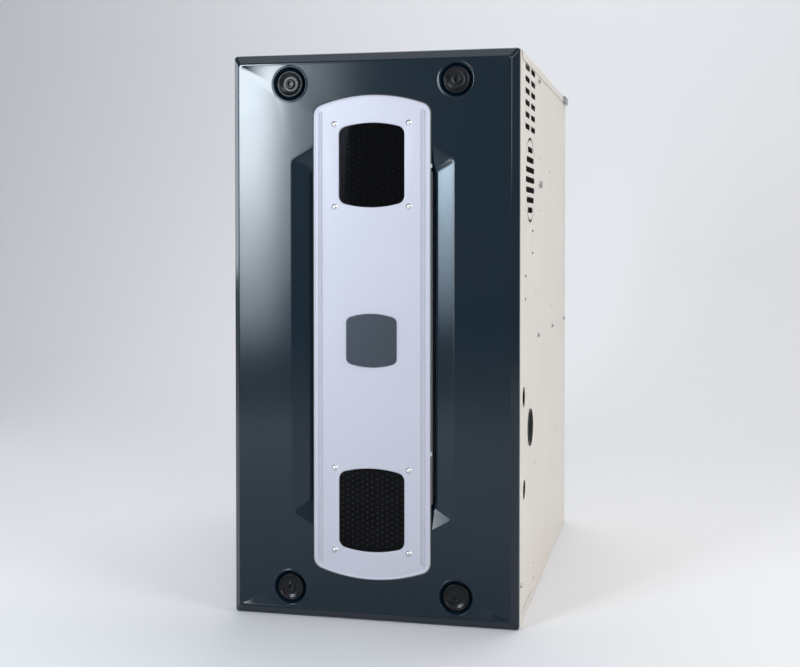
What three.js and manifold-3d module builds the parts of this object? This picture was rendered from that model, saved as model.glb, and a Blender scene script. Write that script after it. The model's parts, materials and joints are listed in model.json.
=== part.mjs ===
// Upflow condensing gas furnace: a sheet-steel cabinet with one full-height painted door.
// Millimetres, +Z up, -Y is the front, and the origin is the middle of the base, on the floor.
import * as THREE from "three";
import { mergeVertices } from "three/addons/utils/BufferGeometryUtils.js";
import Module from "manifold-3d";

const wasm = await Module();
wasm.setup();

// ---- Driving dimensions, mm ----

// Cabinet
const CABINET_WIDTH = 444.5;
const CABINET_HEIGHT = 863.6;
const CABINET_DEPTH = 711.2;
const DOOR_DEPTH = 25.4;
const SHEET = 1.2;
const SEAT = 0.3;
const FRONT_FLANGE = 22;
const REAR_FLANGE = 15;
const BASE_FLANGE = 25;
const CAP_FLANGE = 11.4;
const CAP_FLANGE_SETBACK = 24;
const RAIL_HEIGHT = 66;
const RAIL_RETURN = 16;
const OVERCUT = 1;

// Inner walls
const VESTIBULE_HEIGHT = 435.6;
const DECK_FLANGE = 14;
const VESTIBULE_Y = -109;
const VESTIBULE_FLANGE = 12;

// Supply-air outlet and the two pipes in the cap
const OUTLET_MARGIN_X = 22.25;
const OUTLET_MARGIN_Y = 22;
const OUTLET_FLANGE = 19;
const PIPE_SIDE_GAP = 0.75;
const PIPE_RADIUS = 30;
const PIPE_WALL = 4;
const COUPLING_WALL = 4.5;
const COUPLING_ABOVE = 10;
const COUPLING_BELOW = 42;
const COUPLING_LIP = 6;
const COUPLING_LIP_HEIGHT = 3;

// Rear corner brackets
const BRACKET_LENGTH = 64;
const BRACKET_HEIGHT = 13;
const BRACKET_THICKNESS = 3.6;
const BRACKET_BEVEL = 12;

// Air slots, round vent and pipe holes in the side walls; a hole's drop is from the deck
const SLOT_COLUMNS_Y = [-252, -181];
const SLOT_LENGTH = 58;
const SLOT_HEIGHT = 9;
const SLOT_ROWS = 6;
const SLOT_PITCH = 18.3;
const SLOT_FROM_TOP = 16.6;
const VENT_Y = -217;
const VENT_FROM_TOP = 189.6;
const VENT_RING_RADIUS = 65;
const VENT_SLOT_RADIUS = 57;
const VENT_SLOTS = 7;
const VENT_PITCH = 15.8;
const VENT_SLOT_HEIGHT = 9;
const VENT_LANCE_WIDTH = 3.5;
const VENT_LANCE_SPAN = 0.75;
const CABLE_HOLE = { y: -292, drop: 89, radius: 16 };
const PIPE_HOLE = { y: -218, drop: 146, radius: 27.5 };
const DRAIN_HOLE = { y: -286, drop: 232, radius: 15.5 };
const GROMMET_WALL = 2.5;
const GROMMET_LIP = 2;
const GROMMET_LIP_THICKNESS = 1.5;

// Door
const EDGE_DEPTH = 13.4;
const CHAMFER_SIDE = 11;
const CHAMFER_END = 14;
const DOOR_CORNER = 7;
const DOOR_LIP = 14;
const GASKET = 3;
const GASKET_WIDTH = 9;
const GASKET_INSET = 4;
const POCKET_HALF_WIDTH = 126;
const POCKET_APEX = 338;
const POCKET_SLOPE = 0.547;
const POCKET_RUN = 32;
const POCKET_DEPTH = 16;

// Latches, one at each corner of the door
const LATCH_FROM_SIDE = 93.2;
const LATCH_FROM_END = 46;
const CUP_RADIUS = 24;
const CUP_FLOOR_RADIUS = 20.5;
const CUP_DEPTH = 8.5;
const HEAD_RADIUS = 18;
const HEAD_DEPTH = 7.4;
const DISH_RADIUS = 14;
const DISH_DEPTH = 3.2;
const BOSS_RADIUS = 7;
const BOSS_RISE = 2.6;
const DRIVE_RADIUS = 3.8;
const DRIVE_DEPTH = 4;
const STUD_RADIUS = 4;
const STUD_CLEARANCE = 0.8;
const CROSSBAR_LENGTH = 22;
const CROSSBAR_THICKNESS = 4;
const CROSSBAR_GAP = 2;
const CROSSBAR_HEIGHT = 6;
const SLOT_CLEARANCE = 1;

// Accent strip, windows and badge
const STRIP_HALF_WIDTH = 90.5;
const STRIP_HALF_HEIGHT = 367;
const STRIP_SAGITTA = 25;
const STRIP_CORNER = 10;
const STRIP_PROUD = 3;
const STRIP_EDGE = 1.2;
const SKIRT = 1.4;
const RIB_X = 79.5;
const RIB_HALF_HEIGHT = 342;
const RIB_WIDTH = 1.6;
const RIB_RISE = 0.6;
const WINDOW_OFFSET = 260.5;
const WINDOW_HALF_WIDTH = 50.6;
const WINDOW_HALF_HEIGHT = 63.3;
const WINDOW_SAGITTA = 8;
const WINDOW_CORNER = 12;
const GLASS_RECESS = 0.4;
const PANE_LAP = 9;
const PANE_FLANGE = 1.2;
const SIGHT_CLEARANCE = 1;
const SKIRT_CLEARANCE = 2;
const BADGE_HALF_WIDTH = 38.9;
const BADGE_HALF_HEIGHT = 40.4;
const BADGE_SAGITTA = 7;
const BADGE_CORNER = 9;
const BADGE_THICKNESS = 1.5;
const BADGE_DROP = 3.5;

// Burners and gas train
const BURNERS = 3;
const BURNER_PITCH = 88;
const BURNER_FROM_TOP = 97.6;
const BURNER_RADIUS = 17;
const BURNER_THROAT = 11;
const BURNER_LENGTH = 104;
const BURNER_GAP = 12;
const BURNER_BOX_PIPE_GAP = 12;
const BURNER_BOX_HALF_HEIGHT = 46;
const BURNER_BOX_DEPTH = 96;
const RACK_HEIGHT = 36;
const RACK_SETBACK = 40;
const BURNER_SKIN = 1.4;
const PORT_GAP = 4;
const MANIFOLD_RADIUS = 10.7;
const MANIFOLD_ARM = 6;
const MANIFOLD_ARM_HEIGHT = 16;
const OUTLET_LEG_RADIUS = 9;
const SPUD_RADIUS = 5;
const SPUD_LENGTH = 12;
const SPUD_GAP = 6;
const VALVE_WIDTH = 92;
const VALVE_DEPTH = 56;
const VALVE_HEIGHT = 62;
const VALVE_DROP = 18;
const VALVE_TOWER_RADIUS = 15;
const VALVE_TOWER_LENGTH = 14;
const VALVE_INLET_RADIUS = 14;
const VALVE_INLET_BORE = 9.5;
const TOGGLE_X = 24;
const TOGGLE_LENGTH = 17;
const TOGGLE_WIDTH = 9;
const TOGGLE_THICKNESS = 5;
const TOGGLE_PIVOT_RADIUS = 3;
const TOGGLE_TILT = 0.35;
const TOGGLE_RECESS = 8;
const TOGGLE_RECESS_HEIGHT = 24;
const PROBE_RADIUS = 3;
const PROBE_REACH = 28;
const PROBE_BODY = { length: 14, depth: 14, height: 20 };
const PROBE_SETBACK = 15;

// Heat exchanger
const CELL_RADIUS = 16;
const CELL_WALL = 1.2;
const CELL_PASS_PITCH = 68;
const CELL_PASSES = 3;
const CELL_REAR_Y = 318;
const CELL_TURN_Y = -60;
const CELL_STICKOUT = 3;
const CELL_SIDES = 8;
const CELL_CLEARANCE = 1;
const HEADER_DEPTH = 36;
const HEADER_HALF_WIDTH = 132;
const HEADER_ABOVE = 30;
const COIL_HALF_WIDTH = 150;
const COIL_HEIGHT = 96;
const COIL_ABOVE_DECK = 24;
const COIL_FRONT_Y = -84;
const COIL_FINS = 18;
const COIL_FIN = 2;
const COIL_CORE = 14;
const COIL_STUB_RADIUS = 18;
const COIL_STUB_X = 62;
const COIL_STICKOUT = 6;

// Draught inducer, collector and vent
const COLLECTOR_DEPTH = 52;
const COLLECTOR_SIDE_GAP = 13.25;
const COLLECTOR_RIGHT = 118;
const COLLECTOR_ABOVE_DECK = 13;
const COLLECTOR_HEIGHT = 158;
const COLLECTOR_WALL = 3;
const INDUCER_RISE = 93;
const INDUCER_INNER = 62;
const INDUCER_OUTER = 98;
const INDUCER_CUTOFF = 0.8;
const INDUCER_WIDTH = 50;
const INDUCER_WALL = 3;
const INDUCER_MOUTH = 106;
const INDUCER_INLET = 32;
const INDUCER_WHEEL_RADIUS = 54;
const INDUCER_WHEEL_WIDTH = 22;
const INDUCER_BLADES = 12;
const INDUCER_MOTOR_RADIUS = 41;
const INDUCER_MOTOR_LENGTH = 62;
const INDUCER_SHAFT = 4;
const INDUCER_DISC = 2;
const INDUCER_DISC_GAP = 9;
const INDUCER_HUB = 9;
const SHAFT_HOLE_CLEARANCE = 1;
const BOOT_HEIGHT = 24;
const BOOT_BASE = 4;
const BOOT_WALL = 3;
const BOOT_BORE = 22;

// Circulating blower
const BLOWER_Y = 108;
const BLOWER_RAISE = 25.5;
const BLOWER_OFF_FLOOR = 38;
const SCROLL_GROWTH = 50;
const BLOWER_CUTOFF = 1.3;
const BLOWER_HALF_WIDTH = 114;
const BLOWER_WALL = 1.4;
const WHEEL_GAP = 11;
const BLADE_DEPTH = 21;
const WHEEL_HALF_WIDTH = 100;
const WHEEL_RING = 3;
const WHEEL_BLADES = 16;
const BLADE_LEAN = 0.14;
const BLADE_THICKNESS = 0.016;
const WHEEL_DISC_X = -22;
const WHEEL_DISC = 2;
const HUB_RADIUS = 15;
const HUB_LENGTH = 26;
const SHAFT_RADIUS = 8;
const MOTOR_GAP = 37;
const MOTOR_FROM_X = 6;
const MOTOR_TO_X = 132;
const MOTOR_BEVEL = 8;
const BAND_THICKNESS = 3;
const BAND_WIDTH = 16;
const ARM_WIDTH = 14;
const ARM_LAP = 20;
const ARM_THICKNESS = 3;
const ARMS = 3;

// Controls
const PANEL_X = -45;
const PANEL_HALF_WIDTH = 75;
const PANEL_HEIGHT = 156;
const PANEL_Y = -150;
const PANEL_DEPTH = 30;
const BOARD_THICKNESS = 2;
const BOARD_MARGIN = 8;
const CONNECTOR = { width: 30, depth: 14, height: 16, drop: 40 };
const RELAY = { width: 18, depth: 16, height: 22 };
const RELAYS = 4;
const RELAY_PITCH = 28;
const RELAY_RISE = 22;
const TRANSFORMER = { inset: 91.25, y: -250, width: 58, depth: 50, height: 56, flange: 8, plate: 3 };
const SWITCH = { x: 62, width: 16, depth: 30, height: 30 };
const PLUNGER_RADIUS = 2.6;
const PLUNGER_BORE = 9;
const PRESSURE_SWITCH = { x: 96, drop: 42, radius: 33, depth: 26, rim: 5 };
const HOSE_RADIUS = 4;
const HOSE_X = 58;
const HOSE_RISE = 22;
const HOSE_BEND = 11;
const LIMIT = { x: 0, rise: 41, radius: 13, depth: 12 };
const ROLLOUT = { x: 100, setback: 24, radius: 11, height: 11 };
const BUTTON_RADIUS = 3;
const BUTTON_PROUD = 4;
const BUTTON_GUIDE = 4;
const BUTTON_TRAVEL = 2;
const BUTTON_CLEARANCE = 0.3;
const TRAP = { x: 96, y: -135, width: 52, depth: 40, height: 150, spigot: 16, socket: 12 };
const DRAIN_RADIUS = 8;
const DRAIN_WALL = 1.8;
const HARNESS_RADIUS = 5;
const HARNESS_X = 12;
const HARNESS_Y = -192;
const HARNESS_BEND = 10;
const HARNESS_TURN = 22;
const HARNESS_CLEARANCE = 1;

// How finely round shapes are cut
const FINE_SIDES = 20;
const SIDES = 16;
const SMALL_SIDES = 8;
const SCROLL_STEPS = 20;
const CORNER_STEPS = 3;
const ARC_STEPS = 8;
const MERGE = 1e-4;

// ---- Planes that several pieces share ----

const HALF_WIDTH = CABINET_WIDTH / 2;
const MIDDLE_Z = CABINET_HEIGHT / 2;
const REAR_Y = (CABINET_DEPTH + DOOR_DEPTH) / 2;
const CASE_FRONT_Y = REAR_Y - CABINET_DEPTH;
const DOOR_FACE_Y = CASE_FRONT_Y - DOOR_DEPTH;
const EDGE_Y = CASE_FRONT_Y - EDGE_DEPTH;
const SIDE_OUT = HALF_WIDTH - SHEET - SEAT;
const SIDE_IN = SIDE_OUT - SHEET;
const INSIDE_X = SIDE_IN - SEAT;
const WALL_TOP_Z = CABINET_HEIGHT - SHEET - SEAT;
const REAR_PANEL_Y = REAR_Y - SHEET;
const SIDE_REAR_Y = REAR_PANEL_Y - SEAT;
const INSIDE_REAR_Y = SIDE_REAR_Y - SHEET - SEAT;
const INSIDE_FRONT_Y = CASE_FRONT_Y + SHEET + SEAT;
const DECK_TOP_Z = CABINET_HEIGHT - VESTIBULE_HEIGHT;
const DECK_UNDER_Z = DECK_TOP_Z - SHEET;
const VESTIBULE_BACK_Y = VESTIBULE_Y + SHEET;
const SLOT_TOP_Z = CABINET_HEIGHT - SLOT_FROM_TOP;
const VENT_Z = CABINET_HEIGHT - VENT_FROM_TOP;
const PIPE_HOLE_Z = DECK_TOP_Z - PIPE_HOLE.drop;
const PIPE_SOCKET = PIPE_RADIUS + COUPLING_WALL;
const PIPE_X = INSIDE_X - PIPE_SIDE_GAP - PIPE_SOCKET;
const FLOOR_Y = DOOR_FACE_Y + POCKET_DEPTH;
const FLOOR_BACK_Y = FLOOR_Y + SHEET;
const STRIP_FACE_Y = DOOR_FACE_Y - STRIP_PROUD;
const STRIP_BACK_Y = DOOR_FACE_Y - SEAT;
const CUP_FLOOR_Y = DOOR_FACE_Y + CUP_DEPTH;
const GASKET_Y = CASE_FRONT_Y - SEAT - GASKET;
const LIP_BACK_Y = GASKET_Y - SEAT;
const LIP_FRONT_Y = LIP_BACK_Y - SHEET;
const LATCH_X = HALF_WIDTH - LATCH_FROM_SIDE;
const LATCH_Z = MIDDLE_Z - LATCH_FROM_END;
const CROSSBAR_Y = CASE_FRONT_Y + SHEET + CROSSBAR_GAP;
const BURNER_START_Y = VESTIBULE_Y - BURNER_GAP - BURNER_LENGTH;
const MANIFOLD_Y = BURNER_START_Y - SPUD_GAP - SPUD_LENGTH - MANIFOLD_RADIUS;
const BURNER_XS = Array.from({ length: BURNERS }, (_, i) => (i - (BURNERS - 1) / 2) * BURNER_PITCH);
const BURNER_Z = CABINET_HEIGHT - BURNER_FROM_TOP;
const BURNER_BOX_HALF_WIDTH = PIPE_X - PIPE_RADIUS - BURNER_BOX_PIPE_GAP;
const BURNER_BOX_Y = VESTIBULE_Y - SEAT - BURNER_BOX_DEPTH;
const VALVE_TOP_Z = BURNER_Z - MANIFOLD_RADIUS - VALVE_DROP;
const VALVE_FRONT_Y = MANIFOLD_Y - VALVE_DEPTH / 2;
const TOGGLE_Y = VALVE_FRONT_Y + TOGGLE_RECESS - TOGGLE_PIVOT_RADIUS - SEAT;
const TOGGLE_Z = VALVE_TOP_Z - VALVE_HEIGHT / 2;
const CELL_BOTTOM_Z = BURNER_Z - (CELL_PASSES - 1) * CELL_PASS_PITCH;
const HEADER_Y = CELL_REAR_Y + SEAT;
const COIL_Z = DECK_TOP_Z + COIL_ABOVE_DECK;
const COIL_MIDDLE_Z = COIL_Z + COIL_HEIGHT / 2;
const COLLECTOR_Y = VESTIBULE_Y - SEAT - COLLECTOR_DEPTH;
const INDUCER_BACK_Y = COLLECTOR_Y - SEAT;
const COLLECTOR_LEFT = COLLECTOR_SIDE_GAP - INSIDE_X;
const COLLECTOR_BOTTOM = DECK_TOP_Z + COLLECTOR_ABOVE_DECK;
const COLLECTOR_TOP_Z = COLLECTOR_BOTTOM + COLLECTOR_HEIGHT;
const INDUCER_Z = COLLECTOR_BOTTOM + INDUCER_RISE;
const INDUCER_FRONT_Y = INDUCER_BACK_Y - INDUCER_WIDTH;
const INDUCER_THROAT = INDUCER_INNER * Math.cos(INDUCER_CUTOFF);
const INDUCER_X = -PIPE_X + (INDUCER_THROAT + INDUCER_OUTER) / 2;
const INDUCER_DISC_Y = INDUCER_FRONT_Y + INDUCER_WALL + INDUCER_DISC_GAP;
const PIPE_Y = (INDUCER_BACK_Y + INDUCER_FRONT_Y) / 2;
const BOOT_Z = INDUCER_Z + INDUCER_MOUTH + SEAT;
const VENT_PIPE_TOP_Z = CABINET_HEIGHT - COUPLING_BELOW / 2;
const BLOWER_TOP_Z = DECK_UNDER_Z - SEAT;
const BLOWER_Z = (BLOWER_TOP_Z + BLOWER_RAISE) / 2;
const BLOWER_OUTER = BLOWER_Z - BLOWER_OFF_FLOOR;
const BLOWER_INNER = BLOWER_OUTER - SCROLL_GROWTH;
const WHEEL_RADIUS = BLOWER_INNER - WHEEL_GAP;
const WHEEL_INNER = WHEEL_RADIUS - BLADE_DEPTH;
const ARM_REACH = WHEEL_INNER + ARM_LAP;
const MOTOR_RADIUS = WHEEL_INNER - MOTOR_GAP;
const BLOWER_THROAT = BLOWER_INNER * Math.cos(BLOWER_CUTOFF);
const BOARD_Y = PANEL_Y - SEAT;
const BOARD_FACE_Y = BOARD_Y - BOARD_THICKNESS;
const PANEL_BOTTOM_Z = BLOWER_TOP_Z - PANEL_HEIGHT;
const CONNECTOR_TOP_Z = BLOWER_TOP_Z - CONNECTOR.drop;
const TRANSFORMER_X = INSIDE_X - TRANSFORMER.inset;
const SWITCH_Z = BLOWER_TOP_Z - SWITCH.height / 2;
const BURNER_BOX_TOP_Z = BURNER_Z + BURNER_BOX_HALF_HEIGHT;
const PRESSURE_SWITCH_Z = BURNER_Z - BURNER_BOX_HALF_HEIGHT - PRESSURE_SWITCH.drop;
const TRAP_BOTTOM_Z = BLOWER_TOP_Z - TRAP.height;

// ---- Solids ----

// A closed mesh as a solid that can be joined and cut.
function solidOf(geometry) {
  const loose = geometry.index ? geometry.toNonIndexed() : geometry;
  const points = new THREE.BufferGeometry();
  points.setAttribute("position", loose.getAttribute("position"));
  const merged = mergeVertices(points, MERGE);
  const vertProperties = merged.getAttribute("position").array;
  const corners = merged.index.array;
  const kept = [];
  for (let i = 0; i < corners.length; i += 3) {
    const [a, b, c] = corners.slice(i, i + 3);
    if (a !== b && b !== c && c !== a) kept.push(a, b, c);
  }
  const build = (triVerts) => new wasm.Manifold(new wasm.Mesh({ numProp: 3, vertProperties, triVerts }));
  const solid = build(Uint32Array.from(kept));
  // Reading the corners backwards turns an inside-out solid the right way round.
  return solid.volume() < 0 ? build(Uint32Array.from(kept.reverse())) : solid;
}

// A solid back as the geometry of a mesh.
function geometryOf(solid) {
  const { vertProperties, triVerts } = solid.getMesh();
  const geometry = new THREE.BufferGeometry();
  geometry.setAttribute("position", new THREE.BufferAttribute(Float32Array.from(vertProperties), 3));
  geometry.setIndex(new THREE.BufferAttribute(Uint32Array.from(triVerts), 1));
  const flat = geometry.toNonIndexed();
  flat.computeVertexNormals();
  return flat;
}

const joined = (solids) => solids.reduce((whole, solid) => whole.add(solid));
const cut = (solid, tools) => tools.reduce((rest, tool) => rest.subtract(tool), solid);

function block(xs, ys, zs) {
  const ranges = [xs, ys, zs];
  const box = new THREE.BoxGeometry(...ranges.map(([a, b]) => Math.abs(b - a)));
  return solidOf(box.translate(...ranges.map(([a, b]) => (a + b) / 2)));
}

// A box of the given wall thickness, open on one side: "-y", "+y", "-z" or "+z".
function tray([x0, x1], [y0, y1], [z0, z1], wall, open) {
  const past = (side) => (open === side ? -OVERCUT : wall);
  const inside = block(
    [x0 + wall, x1 - wall],
    [y0 + past("-y"), y1 - past("+y")],
    [z0 + past("-z"), z1 - past("+z")],
  );
  return block([x0, x1], [y0, y1], [z0, z1]).subtract(inside);
}

// Takes (u, v, w) to (w, u, v), which lays a flat outline on Y and Z and pushes it along X.
const ONTO_YZ = new THREE.Matrix4().set(0, 0, 1, 0, 1, 0, 0, 0, 0, 1, 0, 0, 0, 0, 0, 1);

// An outline on the two other axes, pushed along the named axis from one place to another.
function prism(axis, outline, [from, to], holes = []) {
  const flat = (points) => points.map(([u, v]) => new THREE.Vector2(u, v));
  const shape = new THREE.Shape(flat(outline));
  shape.holes = holes.map((hole) => new THREE.Path(flat(hole)));
  const [low, high] = [Math.min(from, to), Math.max(from, to)];
  const geometry = new THREE.ExtrudeGeometry(shape, { depth: high - low, bevelEnabled: false });
  if (axis === "x") geometry.translate(0, 0, low).applyMatrix4(ONTO_YZ);
  if (axis === "y") geometry.translate(0, 0, -high).rotateX(Math.PI / 2);
  if (axis === "z") geometry.translate(0, 0, low);
  return solidOf(geometry);
}

// A round solid about a line along the named axis; a profile point is [radius, place].
function turned(axis, [u, v], profile, sides = SIDES) {
  const points = profile.map(([radius, place]) => new THREE.Vector2(radius, place));
  const geometry = new THREE.LatheGeometry(points, sides);
  if (axis === "x") geometry.rotateZ(-Math.PI / 2).translate(0, u, v);
  if (axis === "y") geometry.translate(u, 0, v);
  if (axis === "z") geometry.rotateX(Math.PI / 2).translate(u, v, 0);
  return solidOf(geometry);
}

function rod(axis, centre, radius, [from, to], sides = SIDES) {
  return turned(axis, centre, [[0, from], [radius, from], [radius, to], [0, to]], sides);
}

function pipe(axis, centre, inner, outer, [from, to], sides = SIDES) {
  return turned(axis, centre, [[inner, from], [outer, from], [outer, to], [inner, to], [inner, from]], sides);
}

// Outlines on X and Z with one count of points, each at its own Y, skinned into a solid.
function loft(sections) {
  const count = sections[0][0].length;
  const corner = (s, i) => [sections[s][0][i % count][0], sections[s][1], sections[s][0][i % count][1]];
  const positions = [];
  for (let s = 0; s + 1 < sections.length; s++) {
    for (let i = 0; i < count; i++) {
      const [a, b, c, d] = [corner(s, i), corner(s, i + 1), corner(s + 1, i + 1), corner(s + 1, i)];
      positions.push(...a, ...b, ...c, ...a, ...c, ...d);
    }
  }
  const last = sections.length - 1;
  const flat = sections[0][0].map(([x, z]) => new THREE.Vector2(x, z));
  for (const [a, b, c] of THREE.ShapeUtils.triangulateShape(flat, [])) {
    positions.push(...corner(0, c), ...corner(0, b), ...corner(0, a));
    positions.push(...corner(last, a), ...corner(last, b), ...corner(last, c));
  }
  const geometry = new THREE.BufferGeometry();
  geometry.setAttribute("position", new THREE.Float32BufferAttribute(positions, 3));
  return solidOf(geometry);
}

// A pipe's centre line: straight runs between corners, rounded at each corner.
class PipeRoute extends THREE.Curve {
  constructor(corners, bend, steps = CORNER_STEPS) {
    super();
    const points = corners.map((corner) => new THREE.Vector3(...corner));
    this.stations = [points[0]];
    for (let i = 1; i + 1 < points.length; i++) {
      const start = points[i].clone().add(points[i - 1].clone().sub(points[i]).setLength(bend));
      const end = points[i].clone().add(points[i + 1].clone().sub(points[i]).setLength(bend));
      this.stations.push(...new THREE.QuadraticBezierCurve3(start, points[i], end).getPoints(steps));
    }
    this.stations.push(points.at(-1));
    // Where two bends meet, their shared point is kept once.
    this.stations = this.stations.filter((p, i, all) => i === 0 || p.distanceTo(all[i - 1]) > SEAT);
  }

  getPoint(t, target = new THREE.Vector3()) {
    const place = t * (this.stations.length - 1);
    const before = Math.min(Math.floor(place), this.stations.length - 2);
    return target.lerpVectors(this.stations[before], this.stations[before + 1], place - before);
  }

  getUtoTmapping(u) {
    return u;
  }
}

// A round pipe or bar along a route, with a bore if an inner radius is given.
function swept(route, radius, inner = 0, sides = SMALL_SIDES) {
  const circle = (r) => Array.from({ length: sides }, (_, i) => polar(r, (i * 2 * Math.PI) / sides));
  const shape = new THREE.Shape(circle(radius).map(([u, v]) => new THREE.Vector2(u, v)));
  if (inner) shape.holes = [new THREE.Path(circle(inner).map(([u, v]) => new THREE.Vector2(u, v)))];
  const steps = route.stations.length - 1;
  return solidOf(new THREE.ExtrudeGeometry(shape, { steps, extrudePath: route, bevelEnabled: false }));
}

// ---- Outlines, as lists of [u, v] ----

function polar(radius, angle, [u, v] = [0, 0]) {
  return [u + radius * Math.cos(angle), v + radius * Math.sin(angle)];
}

function arc(radius, from, to, steps, centre) {
  return Array.from({ length: steps + 1 }, (_, i) => polar(radius, from + ((to - from) * i) / steps, centre));
}

function roundedRect(halfWidth, halfHeight, radius, middleV = 0) {
  const corners = [[1, 1], [-1, 1], [-1, -1], [1, -1]];
  return corners.flatMap(([su, sv], i) => {
    const centre = [su * (halfWidth - radius), middleV + sv * (halfHeight - radius)];
    return arc(radius, (i * Math.PI) / 2, ((i + 1) * Math.PI) / 2, CORNER_STEPS, centre);
  });
}

// Straight sides and bowed ends, rounded where they meet: the shape of the strip, windows and badge.
function barrel(halfWidth, halfHeight, sagitta, corner, middleV) {
  const bow = (halfWidth ** 2 + sagitta ** 2) / (2 * sagitta);
  const bowCentre = halfHeight - bow;
  const cornerU = halfWidth - corner;
  const cornerV = bowCentre + Math.sqrt((bow - corner) ** 2 - cornerU ** 2);
  const meet = Math.atan2(cornerV - bowCentre, cornerU);
  const end = [
    ...arc(corner, 0, meet, CORNER_STEPS, [cornerU, cornerV]),
    ...arc(bow, meet, Math.PI - meet, ARC_STEPS, [0, bowCentre]).slice(1, -1),
    ...arc(corner, Math.PI - meet, Math.PI, CORNER_STEPS, [-cornerU, cornerV]),
  ];
  return [...end, ...end.map(([u, v]) => [-u, -v])].map(([u, v]) => [u, v + middleV]);
}

// The long six-sided outline of the door's pocket, drawn in by an inset on every side.
function hexagon(inset) {
  const half = POCKET_HALF_WIDTH - inset;
  const apex = POCKET_APEX - inset * Math.hypot(1, POCKET_SLOPE);
  const shoulder = apex - POCKET_SLOPE * half;
  const upper = [[half, shoulder], [0, apex], [-half, shoulder]];
  return [...upper, ...upper.map(([x, z]) => [-x, -z])].map(([x, z]) => [x, z + MIDDLE_Z]);
}

// A fan's scroll, as [across, up] from the shaft: from its mouth it winds in to the cut-off, and then
// rises to the mouth again. `wall` draws it in on every side, and `side` mirrors it.
function scroll(inner, outer, cutoff, mouth, side, wall = 0) {
  const turn = 2 * Math.PI - cutoff;
  const winding = Array.from({ length: SCROLL_STEPS + 1 }, (_, i) => {
    const part = i / SCROLL_STEPS;
    return polar(outer + (inner - outer) * part - wall, -turn * part);
  });
  const throat = inner * Math.cos(cutoff) + wall;
  const tongue = wall ? [[throat, winding.at(-1)[1]]] : [];
  const outline = [[outer - wall, mouth], ...winding, ...tongue, [throat, mouth]];
  return outline.map(([across, up]) => [side * across, up]);
}

const moved = (outline, [du, dv]) => outline.map(([u, v]) => [u + du, v + dv]);

// ---- Finishes ----

const finish = (color, roughness, metalness) =>
  new THREE.MeshStandardMaterial({ color, roughness, metalness });

const CREAM_PAINT = finish(0xdcd4cc, 0.45, 0);
const DOOR_PAINT = finish(0x1e2d37, 0.22, 0.1);
const SILVER = finish(0xc8cbda, 0.38, 0.7);
const GLASS = finish(0x0b0d10, 0.08, 0);
const BLACK_STEEL = finish(0x101113, 0.55, 0.2);
const BADGE_GREY = finish(0x4b4f57, 0.45, 0.2);
const BLACK_PLASTIC = finish(0x15181b, 0.5, 0);
const FOAM = finish(0x2b2d2e, 0.95, 0);
const GALVANISED = finish(0xa9adb0, 0.42, 0.85);
const ALUMINISED = finish(0xb9b8b2, 0.45, 0.8);
const RUBBER = finish(0x2d2f31, 0.85, 0);
const WHITE_PLASTIC = finish(0xe8e8e2, 0.5, 0);
const BOARD_GREEN = finish(0x1f5a38, 0.5, 0);
const RED_PLASTIC = finish(0xa3231d, 0.45, 0);
const CERAMIC = finish(0xe9e4d8, 0.7, 0);
const CAST_ALUMINIUM = finish(0x9b9ea2, 0.5, 0.7);

const furnace = new THREE.Group();

function place(name, solid, material) {
  const mesh = new THREE.Mesh(geometryOf(solid), material);
  mesh.name = name;
  furnace.add(mesh);
}

// ---- Cabinet ----

const bothSides = [["right", 1], ["left", -1]];
const across = (side, near, far) => [side * near, side * far];
const spread = (middle, size) => [middle - size / 2, middle + size / 2];

function airSlots(side) {
  const x = across(side, SIDE_IN - OVERCUT, SIDE_OUT + OVERCUT);
  return SLOT_COLUMNS_Y.flatMap((y) =>
    Array.from({ length: SLOT_ROWS }, (_, row) => {
      const z = SLOT_TOP_Z - row * SLOT_PITCH;
      return block(x, spread(y, SLOT_LENGTH), spread(z, SLOT_HEIGHT));
    }),
  );
}

// Level slots inside a circle, and two lanced arcs where the disc can be knocked out.
function roundVent(side) {
  const x = across(side, SIDE_IN - OVERCUT, SIDE_OUT + OVERCUT);
  const slots = Array.from({ length: VENT_SLOTS }, (_, i) => {
    const rise = (i - (VENT_SLOTS - 1) / 2) * VENT_PITCH;
    const half = Math.sqrt(VENT_SLOT_RADIUS ** 2 - rise ** 2);
    const z = VENT_Z + rise;
    return block(x, [VENT_Y - half, VENT_Y + half], spread(z, VENT_SLOT_HEIGHT));
  });
  const lances = [Math.PI / 2, -Math.PI / 2].map((middle) => {
    const [from, to] = spread(middle, VENT_LANCE_SPAN);
    const outside = arc(VENT_RING_RADIUS + VENT_LANCE_WIDTH / 2, from, to, CORNER_STEPS, [VENT_Y, VENT_Z]);
    const inside = arc(VENT_RING_RADIUS - VENT_LANCE_WIDTH / 2, to, from, CORNER_STEPS, [VENT_Y, VENT_Z]);
    return prism("x", [...outside, ...inside], x);
  });
  return [...slots, ...lances];
}

// Gas, wiring and drain come in on the right; the left side keeps its blanks.
function pipeHoles() {
  const x = [SIDE_IN - OVERCUT, SIDE_OUT + OVERCUT];
  const hole = ({ y, drop, radius }) => rod("x", [y, DECK_TOP_Z - drop], radius, x, FINE_SIDES);
  return [CABLE_HOLE, PIPE_HOLE, DRAIN_HOLE].map(hole);
}

function sidePanel(side) {
  const wall = block(across(side, SIDE_IN, SIDE_OUT), [CASE_FRONT_Y, SIDE_REAR_Y], [0, WALL_TOP_Z]);
  const front = block(
    across(side, SIDE_IN - FRONT_FLANGE, SIDE_OUT),
    [CASE_FRONT_Y, CASE_FRONT_Y + SHEET],
    [BASE_FLANGE + SEAT, WALL_TOP_Z],
  );
  const rear = block(
    across(side, SIDE_IN - REAR_FLANGE, SIDE_OUT),
    [SIDE_REAR_Y - SHEET, SIDE_REAR_Y],
    [0, WALL_TOP_Z],
  );
  const holes = side > 0 ? pipeHoles() : [];
  return cut(joined([wall, front, rear]), [...airSlots(side), ...roundVent(side), ...holes]);
}

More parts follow.
